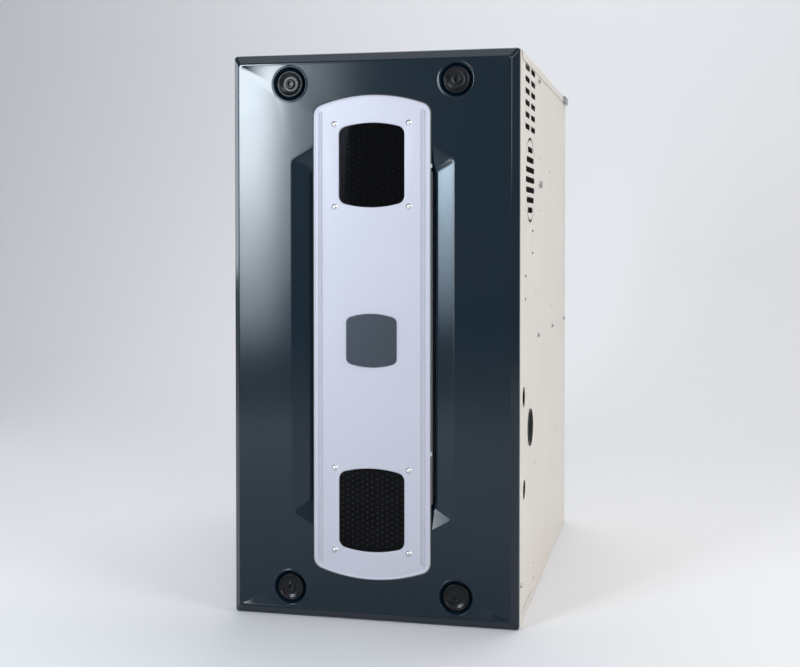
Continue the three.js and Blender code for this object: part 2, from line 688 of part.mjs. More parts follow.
// A bush that snaps into the pipe hole, with a lip on each face of the sheet.
function pipeGrommet() {
  const sleeve = PIPE_HOLE.radius - SEAT;
  const bore = sleeve - GROMMET_WALL;
  const lip = PIPE_HOLE.radius + GROMMET_LIP;
  const [inner, outer] = [SIDE_IN - SEAT, SIDE_OUT + SEAT];
  const profile = [
    [bore, inner - GROMMET_LIP_THICKNESS],
    [lip, inner - GROMMET_LIP_THICKNESS],
    [lip, inner],
    [sleeve, inner],
    [sleeve, outer],
    [lip, outer],
    [lip, outer + GROMMET_LIP_THICKNESS],
    [bore, outer + GROMMET_LIP_THICKNESS],
    [bore, inner - GROMMET_LIP_THICKNESS],
  ];
  return turned("x", [PIPE_HOLE.y, PIPE_HOLE_Z], profile, FINE_SIDES);
}

function cornerBracket(side) {
  const outline = [
    [REAR_Y - BRACKET_LENGTH, CABINET_HEIGHT],
    [REAR_Y - BRACKET_LENGTH + BRACKET_BEVEL, CABINET_HEIGHT - BRACKET_HEIGHT],
    [REAR_Y, CABINET_HEIGHT - BRACKET_HEIGHT],
    [REAR_Y, CABINET_HEIGHT],
  ];
  return prism("x", outline, across(side, HALF_WIDTH + SEAT, HALF_WIDTH + SEAT + BRACKET_THICKNESS));
}

function topCap() {
  const x = [-HALF_WIDTH, HALF_WIDTH];
  const plate = block(x, [CASE_FRONT_Y, REAR_Y], [CABINET_HEIGHT - SHEET, CABINET_HEIGHT]);
  const flanges = bothSides.map(([, side]) =>
    block(
      across(side, HALF_WIDTH - SHEET, HALF_WIDTH),
      [CASE_FRONT_Y + CAP_FLANGE_SETBACK, REAR_Y],
      [CABINET_HEIGHT - CAP_FLANGE, CABINET_HEIGHT],
    ),
  );
  const outletY = [VESTIBULE_BACK_Y + OUTLET_MARGIN_Y, REAR_Y - OUTLET_MARGIN_Y];
  const outletX = [OUTLET_MARGIN_X - HALF_WIDTH, HALF_WIDTH - OUTLET_MARGIN_X];
  const collar = block(outletX, outletY, [CABINET_HEIGHT - SHEET, CABINET_HEIGHT + OUTLET_FLANGE]);
  const mouth = block(
    [outletX[0] + SHEET, outletX[1] - SHEET],
    [outletY[0] + SHEET, outletY[1] - SHEET],
    [CABINET_HEIGHT - SHEET - OVERCUT, CABINET_HEIGHT + OUTLET_FLANGE + OVERCUT],
  );
  const through = [CABINET_HEIGHT - SHEET - OVERCUT, CABINET_HEIGHT + OVERCUT];
  const ventHole = rod("z", [-PIPE_X, PIPE_Y], PIPE_SOCKET + SEAT, through, FINE_SIDES);
  return cut(joined([plate, ...flanges, collar]), [mouth, ventHole]);
}

// A socket for the vent pipe, held in the cap by its lip.
function ventCoupling() {
  const bore = PIPE_RADIUS + SEAT;
  const [low, high] = [CABINET_HEIGHT - COUPLING_BELOW, CABINET_HEIGHT + COUPLING_ABOVE];
  const lip = [CABINET_HEIGHT + SEAT, CABINET_HEIGHT + SEAT + COUPLING_LIP_HEIGHT];
  const profile = [
    [bore, low],
    [PIPE_SOCKET, low],
    [PIPE_SOCKET, lip[0]],
    [PIPE_SOCKET + COUPLING_LIP, lip[0]],
    [PIPE_SOCKET + COUPLING_LIP, lip[1]],
    [PIPE_SOCKET, lip[1]],
    [PIPE_SOCKET, high],
    [bore, high],
    [bore, low],
  ];
  return turned("z", [-PIPE_X, PIPE_Y], profile, FINE_SIDES);
}

// A front rail: a slotted face that the door's latches reach through, with its edges turned back.
function frontRail(low, latchZ) {
  const half = SIDE_IN - FRONT_FLANGE - SEAT;
  const high = low + RAIL_HEIGHT;
  const face = block([-half, half], [CASE_FRONT_Y, CASE_FRONT_Y + SHEET], [low, high]);
  const returns = [[low, low + SHEET], [high - SHEET, high]].map((z) =>
    block([-half, half], [CASE_FRONT_Y, CASE_FRONT_Y + RAIL_RETURN], z),
  );
  const slots = bothSides.map(([, side]) => {
    const reach = CROSSBAR_LENGTH / 2 + SLOT_CLEARANCE;
    const rise = STUD_RADIUS + SLOT_CLEARANCE;
    const x = [side * LATCH_X - reach, side * LATCH_X + reach];
    const y = [CASE_FRONT_Y - OVERCUT, CASE_FRONT_Y + SHEET + OVERCUT];
    return block(x, y, [latchZ - rise, latchZ + rise]);
  });
  return cut(joined([face, ...returns]), slots);
}

function blowerDeck() {
  const y = [INSIDE_FRONT_Y, INSIDE_REAR_Y];
  const plate = block([-INSIDE_X, INSIDE_X], y, [DECK_UNDER_Z, DECK_TOP_Z]);
  const flanges = bothSides.map(([, side]) =>
    block(across(side, INSIDE_X - SHEET, INSIDE_X), y, [DECK_TOP_Z - DECK_FLANGE, DECK_TOP_Z]),
  );
  const through = [DECK_UNDER_Z - OVERCUT, DECK_TOP_Z + OVERCUT];
  const half = BLOWER_HALF_WIDTH - BLOWER_WALL;
  const mouth = [BLOWER_Y + BLOWER_THROAT + BLOWER_WALL, BLOWER_Y + BLOWER_OUTER - BLOWER_WALL];
  const harnessRadius = HARNESS_RADIUS + HARNESS_CLEARANCE;
  const harnessHole = rod("z", [HARNESS_X, HARNESS_Y], harnessRadius, through, SMALL_SIDES);
  const drainHole = rod("z", [TRAP.x, TRAP.y], DRAIN_RADIUS + SEAT, through);
  return cut(joined([plate, ...flanges]), [block([-half, half], mouth, through), harnessHole, drainHole]);
}

function vestiblePorts() {
  const y = [VESTIBULE_Y - OVERCUT, VESTIBULE_BACK_Y + OVERCUT];
  const cellPorts = BURNER_XS.map((x) => rod("y", [x, BURNER_Z], CELL_RADIUS + CELL_CLEARANCE, y));
  const coilPorts = [COIL_STUB_X, -COIL_STUB_X].map((x) =>
    rod("y", [x, COIL_MIDDLE_Z], COIL_STUB_RADIUS + SEAT, y),
  );
  return [...cellPorts, ...coilPorts];
}

function vestibulePanel() {
  const z = [DECK_TOP_Z + SEAT, WALL_TOP_Z];
  const wall = block([-INSIDE_X, INSIDE_X], [VESTIBULE_Y, VESTIBULE_BACK_Y], z);
  const flanges = bothSides.map(([, side]) =>
    block(across(side, INSIDE_X - SHEET, INSIDE_X), [VESTIBULE_Y, VESTIBULE_BACK_Y + VESTIBULE_FLANGE], z),
  );
  return cut(joined([wall, ...flanges]), vestiblePorts());
}

for (const [name, side] of bothSides) {
  place(`side_panel_${name}`, sidePanel(side), CREAM_PAINT);
  place(`rear_corner_bracket_${name}`, cornerBracket(side), GALVANISED);
}
place("pipe_grommet", pipeGrommet(), RUBBER);
place("rear_panel", block([-SIDE_OUT, SIDE_OUT], [REAR_PANEL_Y, REAR_Y], [0, WALL_TOP_Z]), CREAM_PAINT);
const basePan = tray([-INSIDE_X, INSIDE_X], [CASE_FRONT_Y, INSIDE_REAR_Y], [0, BASE_FLANGE], SHEET, "+z");
place("base_pan", basePan, GALVANISED);
place("top_cap", topCap(), CREAM_PAINT);
place("front_rail_top", frontRail(WALL_TOP_Z - RAIL_HEIGHT, MIDDLE_Z + LATCH_Z), CREAM_PAINT);
place("front_rail_bottom", frontRail(BASE_FLANGE + SEAT, MIDDLE_Z - LATCH_Z), CREAM_PAINT);
place("blower_deck", blowerDeck(), GALVANISED);
place("vestibule_panel", vestibulePanel(), GALVANISED);
place("vent_coupling", ventCoupling(), RUBBER);

// ---- Door ----

// The pocket pressed into the door; `skin` thickens it into the shape of the sheet's back.
function pocket(skin) {
  const shift = (skin * Math.hypot(POCKET_RUN, POCKET_DEPTH)) / POCKET_DEPTH;
  const ring = (depth) => [hexagon((POCKET_RUN * depth) / POCKET_DEPTH - shift), DOOR_FACE_Y + depth];
  return loft([ring(skin - OVERCUT), ring(POCKET_DEPTH + skin)]);
}

function latchCup(x, z, skin) {
  const profile = [
    [0, DOOR_FACE_Y - OVERCUT],
    [CUP_RADIUS + skin, DOOR_FACE_Y - OVERCUT],
    [CUP_RADIUS + skin, DOOR_FACE_Y],
    [CUP_FLOOR_RADIUS + skin, CUP_FLOOR_Y + skin],
    [0, CUP_FLOOR_Y + skin],
  ];
  return turned("y", [x, z], profile, FINE_SIDES);
}

const latchPlaces = [["top", 1], ["bottom", -1]].flatMap(([end, up]) =>
  bothSides.map(([name, side]) => [`${end}_${name}`, side * LATCH_X, MIDDLE_Z + up * LATCH_Z]),
);

function doorPanel() {
  const face = [HALF_WIDTH - CHAMFER_SIDE, MIDDLE_Z - CHAMFER_END];
  const outer = loft([
    [roundedRect(...face, DOOR_CORNER, MIDDLE_Z), DOOR_FACE_Y],
    [roundedRect(HALF_WIDTH, MIDDLE_Z, DOOR_CORNER, MIDDLE_Z), EDGE_Y],
    [roundedRect(HALF_WIDTH, MIDDLE_Z, DOOR_CORNER, MIDDLE_Z), LIP_BACK_Y],
  ]);
  const insideEdge = roundedRect(HALF_WIDTH - SHEET, MIDDLE_Z - SHEET, DOOR_CORNER, MIDDLE_Z);
  const inner = loft([
    [roundedRect(face[0] - SHEET / 2, face[1] - SHEET / 2, DOOR_CORNER, MIDDLE_Z), DOOR_FACE_Y + SHEET],
    [insideEdge, EDGE_Y + SHEET / 2],
    [insideEdge, LIP_FRONT_Y],
  ]);
  const lipHole = block(
    [DOOR_LIP - HALF_WIDTH, HALF_WIDTH - DOOR_LIP],
    [LIP_FRONT_Y - OVERCUT, LIP_BACK_Y + OVERCUT],
    [DOOR_LIP, CABINET_HEIGHT - DOOR_LIP],
  );
  const cups = (skin) => latchPlaces.map(([, x, z]) => latchCup(x, z, skin));
  const hollow = cut(inner.add(lipHole), [pocket(SHEET), ...cups(SHEET)]);
  const through = [DOOR_FACE_Y - OVERCUT, LIP_BACK_Y + OVERCUT];
  const studHoles = latchPlaces.map(([, x, z]) => rod("y", [x, z], STUD_RADIUS + STUD_CLEARANCE, through));
  const sights = [WINDOW_OFFSET, -WINDOW_OFFSET].map((offset) =>
    prism("y", windowOutline(PANE_LAP + SIGHT_CLEARANCE, offset), through),
  );
  return cut(outer, [pocket(0), ...cups(0), hollow, ...studHoles, ...sights]);
}

// A window's outline, grown or shrunk on every side.
function windowOutline(grow, offset) {
  const [halfWidth, halfHeight] = [WINDOW_HALF_WIDTH + grow, WINDOW_HALF_HEIGHT + grow];
  return barrel(halfWidth, halfHeight, WINDOW_SAGITTA, WINDOW_CORNER, MIDDLE_Z + offset);
}

// A pane that fills the strip's hole, with a flange behind the strip.
function sightGlass(offset) {
  const flangeY = STRIP_BACK_Y + SEAT;
  const pane = prism("y", windowOutline(-SEAT, offset), [STRIP_FACE_Y + GLASS_RECESS, flangeY + OVERCUT / 2]);
  return pane.add(prism("y", windowOutline(PANE_LAP, offset), [flangeY, flangeY + PANE_FLANGE]));
}

function doorGasket() {
  const ring = (inset, y) =>
    block([inset - HALF_WIDTH, HALF_WIDTH - inset], y, [inset, CABINET_HEIGHT - inset]);
  const y = [GASKET_Y, CASE_FRONT_Y - SEAT];
  const hole = [y[0] - OVERCUT, y[1] + OVERCUT];
  return ring(GASKET_INSET, y).subtract(ring(GASKET_INSET + GASKET_WIDTH, hole));
}

function accentStrip() {
  const outline = (inset) => {
    const [halfWidth, halfHeight] = [STRIP_HALF_WIDTH - inset, STRIP_HALF_HEIGHT - inset];
    return barrel(halfWidth, halfHeight, STRIP_SAGITTA, STRIP_CORNER, MIDDLE_Z);
  };
  const plate = loft([
    [outline(STRIP_EDGE), STRIP_FACE_Y],
    [outline(0), STRIP_FACE_Y + STRIP_EDGE],
    [outline(0), STRIP_BACK_Y],
  ]);
  const [[floorX, shoulderZ]] = hexagon(POCKET_RUN);
  const skirtHalf = shoulderZ - MIDDLE_Z + POCKET_SLOPE * (floorX - STRIP_HALF_WIDTH) - SKIRT_CLEARANCE;
  const sides = bothSides.flatMap(([, side]) => [
    block(
      across(side, STRIP_HALF_WIDTH - SKIRT, STRIP_HALF_WIDTH),
      [STRIP_BACK_Y - OVERCUT, FLOOR_Y - SEAT],
      [MIDDLE_Z - skirtHalf, MIDDLE_Z + skirtHalf],
    ),
    block(
      across(side, RIB_X - RIB_WIDTH / 2, RIB_X + RIB_WIDTH / 2),
      [STRIP_FACE_Y - RIB_RISE, STRIP_FACE_Y + STRIP_EDGE],
      [MIDDLE_Z - RIB_HALF_HEIGHT, MIDDLE_Z + RIB_HALF_HEIGHT],
    ),
  ]);
  const windows = [WINDOW_OFFSET, -WINDOW_OFFSET].map((offset) =>
    prism("y", windowOutline(0, offset), [STRIP_FACE_Y - OVERCUT, STRIP_BACK_Y + OVERCUT]),
  );
  return cut(joined([plate, ...sides]), windows);
}

function badgePlate() {
  const centre = MIDDLE_Z - BADGE_DROP;
  const outline = barrel(BADGE_HALF_WIDTH, BADGE_HALF_HEIGHT, BADGE_SAGITTA, BADGE_CORNER, centre);
  return prism("y", outline, [STRIP_FACE_Y - SEAT, STRIP_FACE_Y - SEAT - BADGE_THICKNESS]);
}

// A quarter-turn latch: a dished head in its cup, and a stud whose crossbar locks behind the rail.
function latch(x, z) {
  const back = CUP_FLOOR_Y - SEAT;
  const front = back - HEAD_DEPTH;
  const dish = front + DISH_DEPTH;
  const boss = dish - BOSS_RISE;
  const end = CROSSBAR_Y + CROSSBAR_THICKNESS;
  const profile = [
    [0, boss + DRIVE_DEPTH],
    [DRIVE_RADIUS, boss + DRIVE_DEPTH],
    [DRIVE_RADIUS, boss],
    [BOSS_RADIUS, boss],
    [BOSS_RADIUS, dish],
    [DISH_RADIUS - DISH_DEPTH / 2, dish],
    [DISH_RADIUS, front],
    [HEAD_RADIUS, front],
    [HEAD_RADIUS, back],
    [STUD_RADIUS, back],
    [STUD_RADIUS, end],
    [0, end],
  ];
  const crossbar = block(
    spread(x, CROSSBAR_LENGTH),
    [CROSSBAR_Y, end],
    spread(z, CROSSBAR_HEIGHT),
  );
  return turned("y", [x, z], profile, FINE_SIDES).add(crossbar);
}

place("door_panel", doorPanel(), DOOR_PAINT);
place("door_gasket", doorGasket(), FOAM);
place("accent_strip", accentStrip(), SILVER);
place("upper_window", sightGlass(WINDOW_OFFSET), GLASS);
place("lower_window", sightGlass(-WINDOW_OFFSET), GLASS);
place("badge_plate", badgePlate(), BADGE_GREY);
for (const [name, x, z] of latchPlaces) place(`door_latch_${name}`, latch(x, z), BLACK_PLASTIC);

// ---- Burners and gas train ----

function burnerBox() {
  const box = tray(
    [-BURNER_BOX_HALF_WIDTH, BURNER_BOX_HALF_WIDTH],
    [BURNER_BOX_Y, VESTIBULE_Y - SEAT],
    [BURNER_Z - BURNER_BOX_HALF_HEIGHT, BURNER_BOX_TOP_Z],
    SHEET,
    "-y",
  );
  const y = [VESTIBULE_Y - SEAT - SHEET - OVERCUT, VESTIBULE_Y];
  const ports = BURNER_XS.map((x) => rod("y", [x, BURNER_Z], CELL_RADIUS + PORT_GAP, y));
  const probeY = VESTIBULE_Y - PROBE_SETBACK;
  const wall = [-BURNER_BOX_HALF_WIDTH - OVERCUT, BURNER_BOX_HALF_WIDTH + OVERCUT];
  const probeHoles = rod("x", [probeY, BURNER_Z], PROBE_RADIUS + SEAT, wall, SMALL_SIDES);
  return cut(box, [...ports, probeHoles]);
}

// An in-shot burner: a bell mouth, a straight throat and a flared head, all thin sheet.
function burner(x) {
  const [start, end] = [BURNER_START_Y, BURNER_START_Y + BURNER_LENGTH];
  const flare = BURNER_RADIUS - BURNER_THROAT;
  const outside = [
    [BURNER_RADIUS, start],
    [BURNER_THROAT, start + 2 * flare],
    [BURNER_THROAT, end - 4 * flare],
    [BURNER_RADIUS, end - 2 * flare],
    [BURNER_RADIUS, end],
  ];
  const inside = outside.map(([radius, y]) => [radius - BURNER_SKIN, y]).reverse();
  return turned("y", [x, BURNER_Z], [...outside, ...inside, outside[0]]);
}

function burnerRack() {
  const half = BURNER_BOX_HALF_WIDTH - SHEET - SEAT;
  const y = [BURNER_START_Y + RACK_SETBACK, BURNER_START_Y + RACK_SETBACK + SHEET];
  const plate = block([-half, half], y, spread(BURNER_Z, RACK_HEIGHT));
  const past = [y[0] - OVERCUT, y[1] + OVERCUT];
  return cut(plate, BURNER_XS.map((x) => rod("y", [x, BURNER_Z], BURNER_THROAT + SEAT, past)));
}

function gasManifold() {
  const end = BURNER_BOX_HALF_WIDTH + MANIFOLD_ARM / 2;
  const bar = rod("x", [MANIFOLD_Y, BURNER_Z], MANIFOLD_RADIUS, [-end, end], SMALL_SIDES);
  const spuds = BURNER_XS.map((x) =>
    rod("y", [x, BURNER_Z], SPUD_RADIUS, [MANIFOLD_Y, BURNER_START_Y - SPUD_GAP], SMALL_SIDES),
  );
  const arms = bothSides.map(([, side]) =>
    block(
      across(side, end - MANIFOLD_ARM, end),
      [MANIFOLD_Y, BURNER_BOX_Y - SEAT],
      spread(BURNER_Z, MANIFOLD_ARM_HEIGHT),
    ),
  );
  const leg = rod("z", [0, MANIFOLD_Y], OUTLET_LEG_RADIUS, [VALVE_TOP_Z + SEAT, BURNER_Z], SMALL_SIDES);
  return joined([bar, ...spuds, ...arms, leg]);
}

function gasValve() {
  const z = [VALVE_TOP_Z - VALVE_HEIGHT, VALVE_TOP_Z];
  const y = [VALVE_FRONT_Y, MANIFOLD_Y + VALVE_DEPTH / 2];
  const half = VALVE_WIDTH / 2;
  const body = block([-half, half], y, z);
  const towerY = [VALVE_FRONT_Y - VALVE_TOWER_LENGTH, VALVE_FRONT_Y + OVERCUT];
  const tower = rod("y", [-TOGGLE_X + OVERCUT, TOGGLE_Z], VALVE_TOWER_RADIUS, towerY);
  const inletX = [half - OVERCUT, half + VALVE_INLET_RADIUS];
  const inlet = rod("x", [MANIFOLD_Y, TOGGLE_Z], VALVE_INLET_RADIUS, inletX);
  const inletBore = rod("x", [MANIFOLD_Y, TOGGLE_Z], VALVE_INLET_BORE, [half, half + 2 * VALVE_INLET_RADIUS]);
  const recess = block(
    [TOGGLE_X - TOGGLE_WIDTH / 2 - SEAT, TOGGLE_X + TOGGLE_WIDTH / 2 + SEAT],
    [VALVE_FRONT_Y - OVERCUT, VALVE_FRONT_Y + TOGGLE_RECESS],
    spread(TOGGLE_Z, TOGGLE_RECESS_HEIGHT),
  );
  return cut(joined([body, tower, inlet]), [inletBore, recess]);
}

// The valve's on-off lever, tipped up to on; it turns about the pivot at its root.
function valveToggle() {
  const pivot = [TOGGLE_Y, TOGGLE_Z];
  const x = spread(TOGGLE_X, TOGGLE_WIDTH);
  const root = Math.asin(TOGGLE_THICKNESS / 2 / TOGGLE_PIVOT_RADIUS);
  const tip = Math.asin(TOGGLE_THICKNESS / 2 / TOGGLE_LENGTH);
  const middle = Math.PI - TOGGLE_TILT;
  const lever = [
    polar(TOGGLE_PIVOT_RADIUS, middle + root, pivot),
    polar(TOGGLE_PIVOT_RADIUS, middle - root, pivot),
    polar(TOGGLE_LENGTH, middle - tip, pivot),
    polar(TOGGLE_LENGTH, middle + tip, pivot),
  ];
  return joined([rod("x", pivot, TOGGLE_PIVOT_RADIUS, x, SMALL_SIDES), prism("x", lever, x)]);
}

// The igniter and the flame sensor: a body outside the burner box and a rod that reaches the flame.
function flameProbe(side) {
  const y = VESTIBULE_Y - PROBE_SETBACK;
  const foot = BURNER_BOX_HALF_WIDTH + SEAT;
  const body = block(
    across(side, foot, foot + PROBE_BODY.length),
    spread(y, PROBE_BODY.depth),
    spread(BURNER_Z, PROBE_BODY.height),
  );
  const reach = across(side, BURNER_BOX_HALF_WIDTH - PROBE_REACH, foot + OVERCUT);
  return body.add(rod("x", [y, BURNER_Z], PROBE_RADIUS, reach, SMALL_SIDES));
}

function rolloutSwitch() {
  const low = BURNER_BOX_TOP_Z + SEAT;
  const centre = [ROLLOUT.x, BURNER_BOX_Y + ROLLOUT.setback];
  const depth = BUTTON_GUIDE + BUTTON_TRAVEL + SEAT;
  const body = rod("z", centre, ROLLOUT.radius, [low, low + ROLLOUT.height]);
  const bore = [low + ROLLOUT.height - depth, low + ROLLOUT.height + OVERCUT];
  return body.subtract(rod("z", centre, BUTTON_RADIUS + BUTTON_CLEARANCE, bore, SMALL_SIDES));
}

function resetButton() {
  const top = BURNER_BOX_TOP_Z + SEAT + ROLLOUT.height;
  const centre = [ROLLOUT.x, BURNER_BOX_Y + ROLLOUT.setback];
  return rod("z", centre, BUTTON_RADIUS, [top - BUTTON_GUIDE, top + BUTTON_PROUD], SMALL_SIDES);
}

place("burner_box", burnerBox(), ALUMINISED);
place("burner_rack", burnerRack(), ALUMINISED);
BURNER_XS.forEach((x, i) => place(`burner_${i + 1}`, burner(x), ALUMINISED));
place("gas_manifold", gasManifold(), BLACK_STEEL);
place("gas_valve", gasValve(), CAST_ALUMINIUM);
place("gas_valve_toggle", valveToggle(), RED_PLASTIC);
place("igniter", flameProbe(-1), CERAMIC);
place("flame_sensor", flameProbe(1), CERAMIC);
place("rollout_switch", rolloutSwitch(), BLACK_PLASTIC);
place("rollout_reset_button", resetButton(), RED_PLASTIC);

// ---- Heat exchanger ----

// A serpentine tube: the flame enters its top pass, and its last pass ends in the rear header.
function cell(x) {
  const corners = [[x, VESTIBULE_Y - CELL_STICKOUT, BURNER_Z]];
  for (let pass = 0; pass + 1 < CELL_PASSES; pass++) {
    const y = pass % 2 === 0 ? CELL_REAR_Y : CELL_TURN_Y;
    const z = BURNER_Z - pass * CELL_PASS_PITCH;
    corners.push([x, y - (pass % 2 === 0 ? CELL_RADIUS : 0), z]);
    corners.push([x, y - (pass % 2 === 0 ? CELL_RADIUS : 0), z - CELL_PASS_PITCH]);
  }
  corners.push([x, HEADER_Y + SHEET + CELL_STICKOUT, CELL_BOTTOM_Z]);
  const route = new PipeRoute(corners, CELL_PASS_PITCH / 2);
  return swept(route, CELL_RADIUS, CELL_RADIUS - CELL_WALL, CELL_SIDES);
}

function rearHeader() {
  const x = [-HEADER_HALF_WIDTH, HEADER_HALF_WIDTH];
  const y = [HEADER_Y, HEADER_Y + HEADER_DEPTH];
  const z = [COIL_Z, CELL_BOTTOM_Z + HEADER_ABOVE];
  const inward = ([low, high], wall) => [low + wall, high - wall];
  const shell = block(x, y, z).subtract(block(inward(x, SHEET), inward(y, SHEET), inward(z, SHEET)));
  const front = [HEADER_Y - OVERCUT, HEADER_Y + SHEET + OVERCUT];
  const ports = BURNER_XS.map((px) => rod("y", [px, CELL_BOTTOM_Z], CELL_RADIUS + CELL_CLEARANCE, front));
  const coilMouth = block(inward(x, COIL_CORE), front, inward([COIL_Z, COIL_Z + COIL_HEIGHT], COIL_CORE));
  return cut(shell, [...ports, coilMouth]);
}

// The condensing coil: fins on a core, and two stubs that reach the collector through the panel.
function secondaryCoil() {
  const [front, back] = [COIL_FRONT_Y, HEADER_Y - SEAT];
  const pitch = (back - front - COIL_FIN) / (COIL_FINS - 1);
  const [low, high] = [COIL_Z, COIL_Z + COIL_HEIGHT];
  const core = spread(COIL_MIDDLE_Z, COIL_CORE);
  const fins = Array.from({ length: COIL_FINS }, (_, i) => front + i * pitch);
  const edge = (root, tip) =>
    fins.flatMap((y) => [[y, root], [y, tip], [y + COIL_FIN, tip], [y + COIL_FIN, root]]).slice(1, -1);
  const comb = [...edge(core[1], high), ...edge(core[0], low).reverse()];
  const body = prism("x", comb, [-COIL_HALF_WIDTH, COIL_HALF_WIDTH]);
  const stubY = [VESTIBULE_Y - COIL_STICKOUT, COIL_FRONT_Y + COIL_FIN / 2];
  const stubs = [COIL_STUB_X, -COIL_STUB_X].map((x) => rod("y", [x, COIL_MIDDLE_Z], COIL_STUB_RADIUS, stubY));
  return joined([body, ...stubs]);
}

BURNER_XS.forEach((x, i) => place(`heat_exchanger_cell_${i + 1}`, cell(x), ALUMINISED));
place("rear_header", rearHeader(), ALUMINISED);
place("secondary_coil", secondaryCoil(), ALUMINISED);

// ---- Draught inducer, collector and vent ----

function collectorBox() {
  const x = [COLLECTOR_LEFT, COLLECTOR_RIGHT];
  const y = [COLLECTOR_Y, VESTIBULE_Y - SEAT];
  const z = [COLLECTOR_BOTTOM, COLLECTOR_TOP_Z];
  const inward = ([low, high]) => [low + COLLECTOR_WALL, high - COLLECTOR_WALL];
  const shell = block(x, y, z).subtract(block(inward(x), inward(y), inward(z)));
  const back = [y[1] - COLLECTOR_WALL - OVERCUT, y[1] + OVERCUT];
  const front = [y[0] - OVERCUT, y[0] + COLLECTOR_WALL + OVERCUT];
  const stubPorts = [COIL_STUB_X, -COIL_STUB_X].map((px) =>
    rod("y", [px, COIL_MIDDLE_Z], COIL_STUB_RADIUS + SEAT, back),
  );
  const inducerPort = rod("y", [INDUCER_X, INDUCER_Z], INDUCER_INLET, front);
  const spigotZ = [BLOWER_TOP_Z - TRAP.socket + SEAT, z[0] + COLLECTOR_WALL];
  const spigot = rod("z", [TRAP.x, TRAP.y], DRAIN_RADIUS, spigotZ);
  const past = [spigotZ[0] - OVERCUT, spigotZ[1] + OVERCUT];
  const drain = rod("z", [TRAP.x, TRAP.y], DRAIN_RADIUS - DRAIN_WALL, past, SMALL_SIDES);
  return cut(shell.add(spigot), [...stubPorts, inducerPort, drain]);
}

function inducerHousing() {
  const centre = [INDUCER_X, INDUCER_Z];
  const outline = (wall, top) =>
    moved(scroll(INDUCER_INNER, INDUCER_OUTER, INDUCER_CUTOFF, top, -1, wall), centre);
  const shell = prism("y", outline(0, INDUCER_MOUTH), [INDUCER_FRONT_Y, INDUCER_BACK_Y]);
  const inside = [INDUCER_FRONT_Y + INDUCER_WALL, INDUCER_BACK_Y - INDUCER_WALL];
  const hollow = prism("y", outline(INDUCER_WALL, INDUCER_MOUTH + OVERCUT), inside);
  const inlet = rod("y", centre, INDUCER_INLET, [inside[1] - OVERCUT, INDUCER_BACK_Y + OVERCUT]);
  const shaftHole = rod(
    "y",
    centre,
    INDUCER_SHAFT + SHAFT_HOLE_CLEARANCE,
    [INDUCER_FRONT_Y - OVERCUT, inside[0] + OVERCUT],
    SMALL_SIDES,
  );
  return cut(shell, [hollow, inlet, shaftHole]);
}

// A disc with straight vanes on the inlet side and a bored hub.
function inducerWheel() {
  const centre = [INDUCER_X, INDUCER_Z];
  const end = INDUCER_DISC_Y + INDUCER_WHEEL_WIDTH;
  const disc = rod("y", centre, INDUCER_WHEEL_RADIUS, [INDUCER_DISC_Y, INDUCER_DISC_Y + INDUCER_DISC]);
  const hub = rod("y", centre, INDUCER_HUB, [INDUCER_DISC_Y, end]);
  const vanes = Array.from({ length: INDUCER_BLADES }, (_, i) => {
    const angle = (i * 2 * Math.PI) / INDUCER_BLADES;
    const [inner, outer] = [INDUCER_WHEEL_RADIUS / 2, INDUCER_WHEEL_RADIUS - OVERCUT];
    const vane = [
      polar(inner, angle, centre),
      polar(outer, angle, centre),
      polar(outer, angle + 2 * BLADE_THICKNESS, centre),
      polar(inner, angle + 4 * BLADE_THICKNESS, centre),
    ];
    return prism("y", vane, [INDUCER_DISC_Y + INDUCER_DISC / 2, end]);
  });
  const bore = [INDUCER_DISC_Y - OVERCUT, end + OVERCUT];
  return cut(joined([disc, hub, ...vanes]), [rod("y", centre, INDUCER_SHAFT + SEAT, bore)]);
}

function inducerMotor() {
  const back = INDUCER_FRONT_Y - SEAT;
  const front = back - INDUCER_MOTOR_LENGTH;
  const bevel = INDUCER_MOTOR_RADIUS / 6;
  const profile = [
    [0, front],
    [INDUCER_MOTOR_RADIUS - bevel, front],
    [INDUCER_MOTOR_RADIUS, front + bevel],
    [INDUCER_MOTOR_RADIUS, back],
    [INDUCER_SHAFT, back],
    [INDUCER_SHAFT, INDUCER_DISC_Y + INDUCER_WHEEL_WIDTH],
    [0, INDUCER_DISC_Y + INDUCER_WHEEL_WIDTH],
  ];
  return turned("y", [INDUCER_X, INDUCER_Z], profile);
}

// A rubber boot: its base covers the inducer's mouth and its sleeve holds the vent pipe.
function ventBoot() {
  const centre = [-PIPE_X, PIPE_Y];
  const reach = PIPE_RADIUS + BOOT_WALL;
  const base = block(
    [-PIPE_X - reach, -PIPE_X + reach],
    [PIPE_Y - reach, PIPE_Y + reach],
    [BOOT_Z, BOOT_Z + BOOT_BASE],
  );
  const sleeve = rod("z", centre, reach, [BOOT_Z, BOOT_Z + BOOT_HEIGHT], FINE_SIDES);
  const seatZ = [BOOT_Z + BOOT_BASE, BOOT_Z + BOOT_HEIGHT + OVERCUT];
  const seat = rod("z", centre, PIPE_RADIUS + SEAT, seatZ, FINE_SIDES);
  const bore = rod("z", centre, BOOT_BORE, [BOOT_Z - OVERCUT, BOOT_Z + BOOT_HEIGHT]);
  return cut(base.add(sleeve), [seat, bore]);
}

place("collector_box", collectorBox(), BLACK_PLASTIC);
place("inducer_housing", inducerHousing(), BLACK_PLASTIC);
place("inducer_wheel", inducerWheel(), GALVANISED);
place("inducer_motor", inducerMotor(), GALVANISED);
place("vent_boot", ventBoot(), RUBBER);
const ventPipeZ = [BOOT_Z + BOOT_BASE + SEAT, VENT_PIPE_TOP_Z];
const ventPipeBore = PIPE_RADIUS - PIPE_WALL;
const ventPipe = pipe("z", [-PIPE_X, PIPE_Y], ventPipeBore, PIPE_RADIUS, ventPipeZ, FINE_SIDES);
place("vent_pipe", ventPipe, WHITE_PLASTIC);

// ---- Circulating blower ----

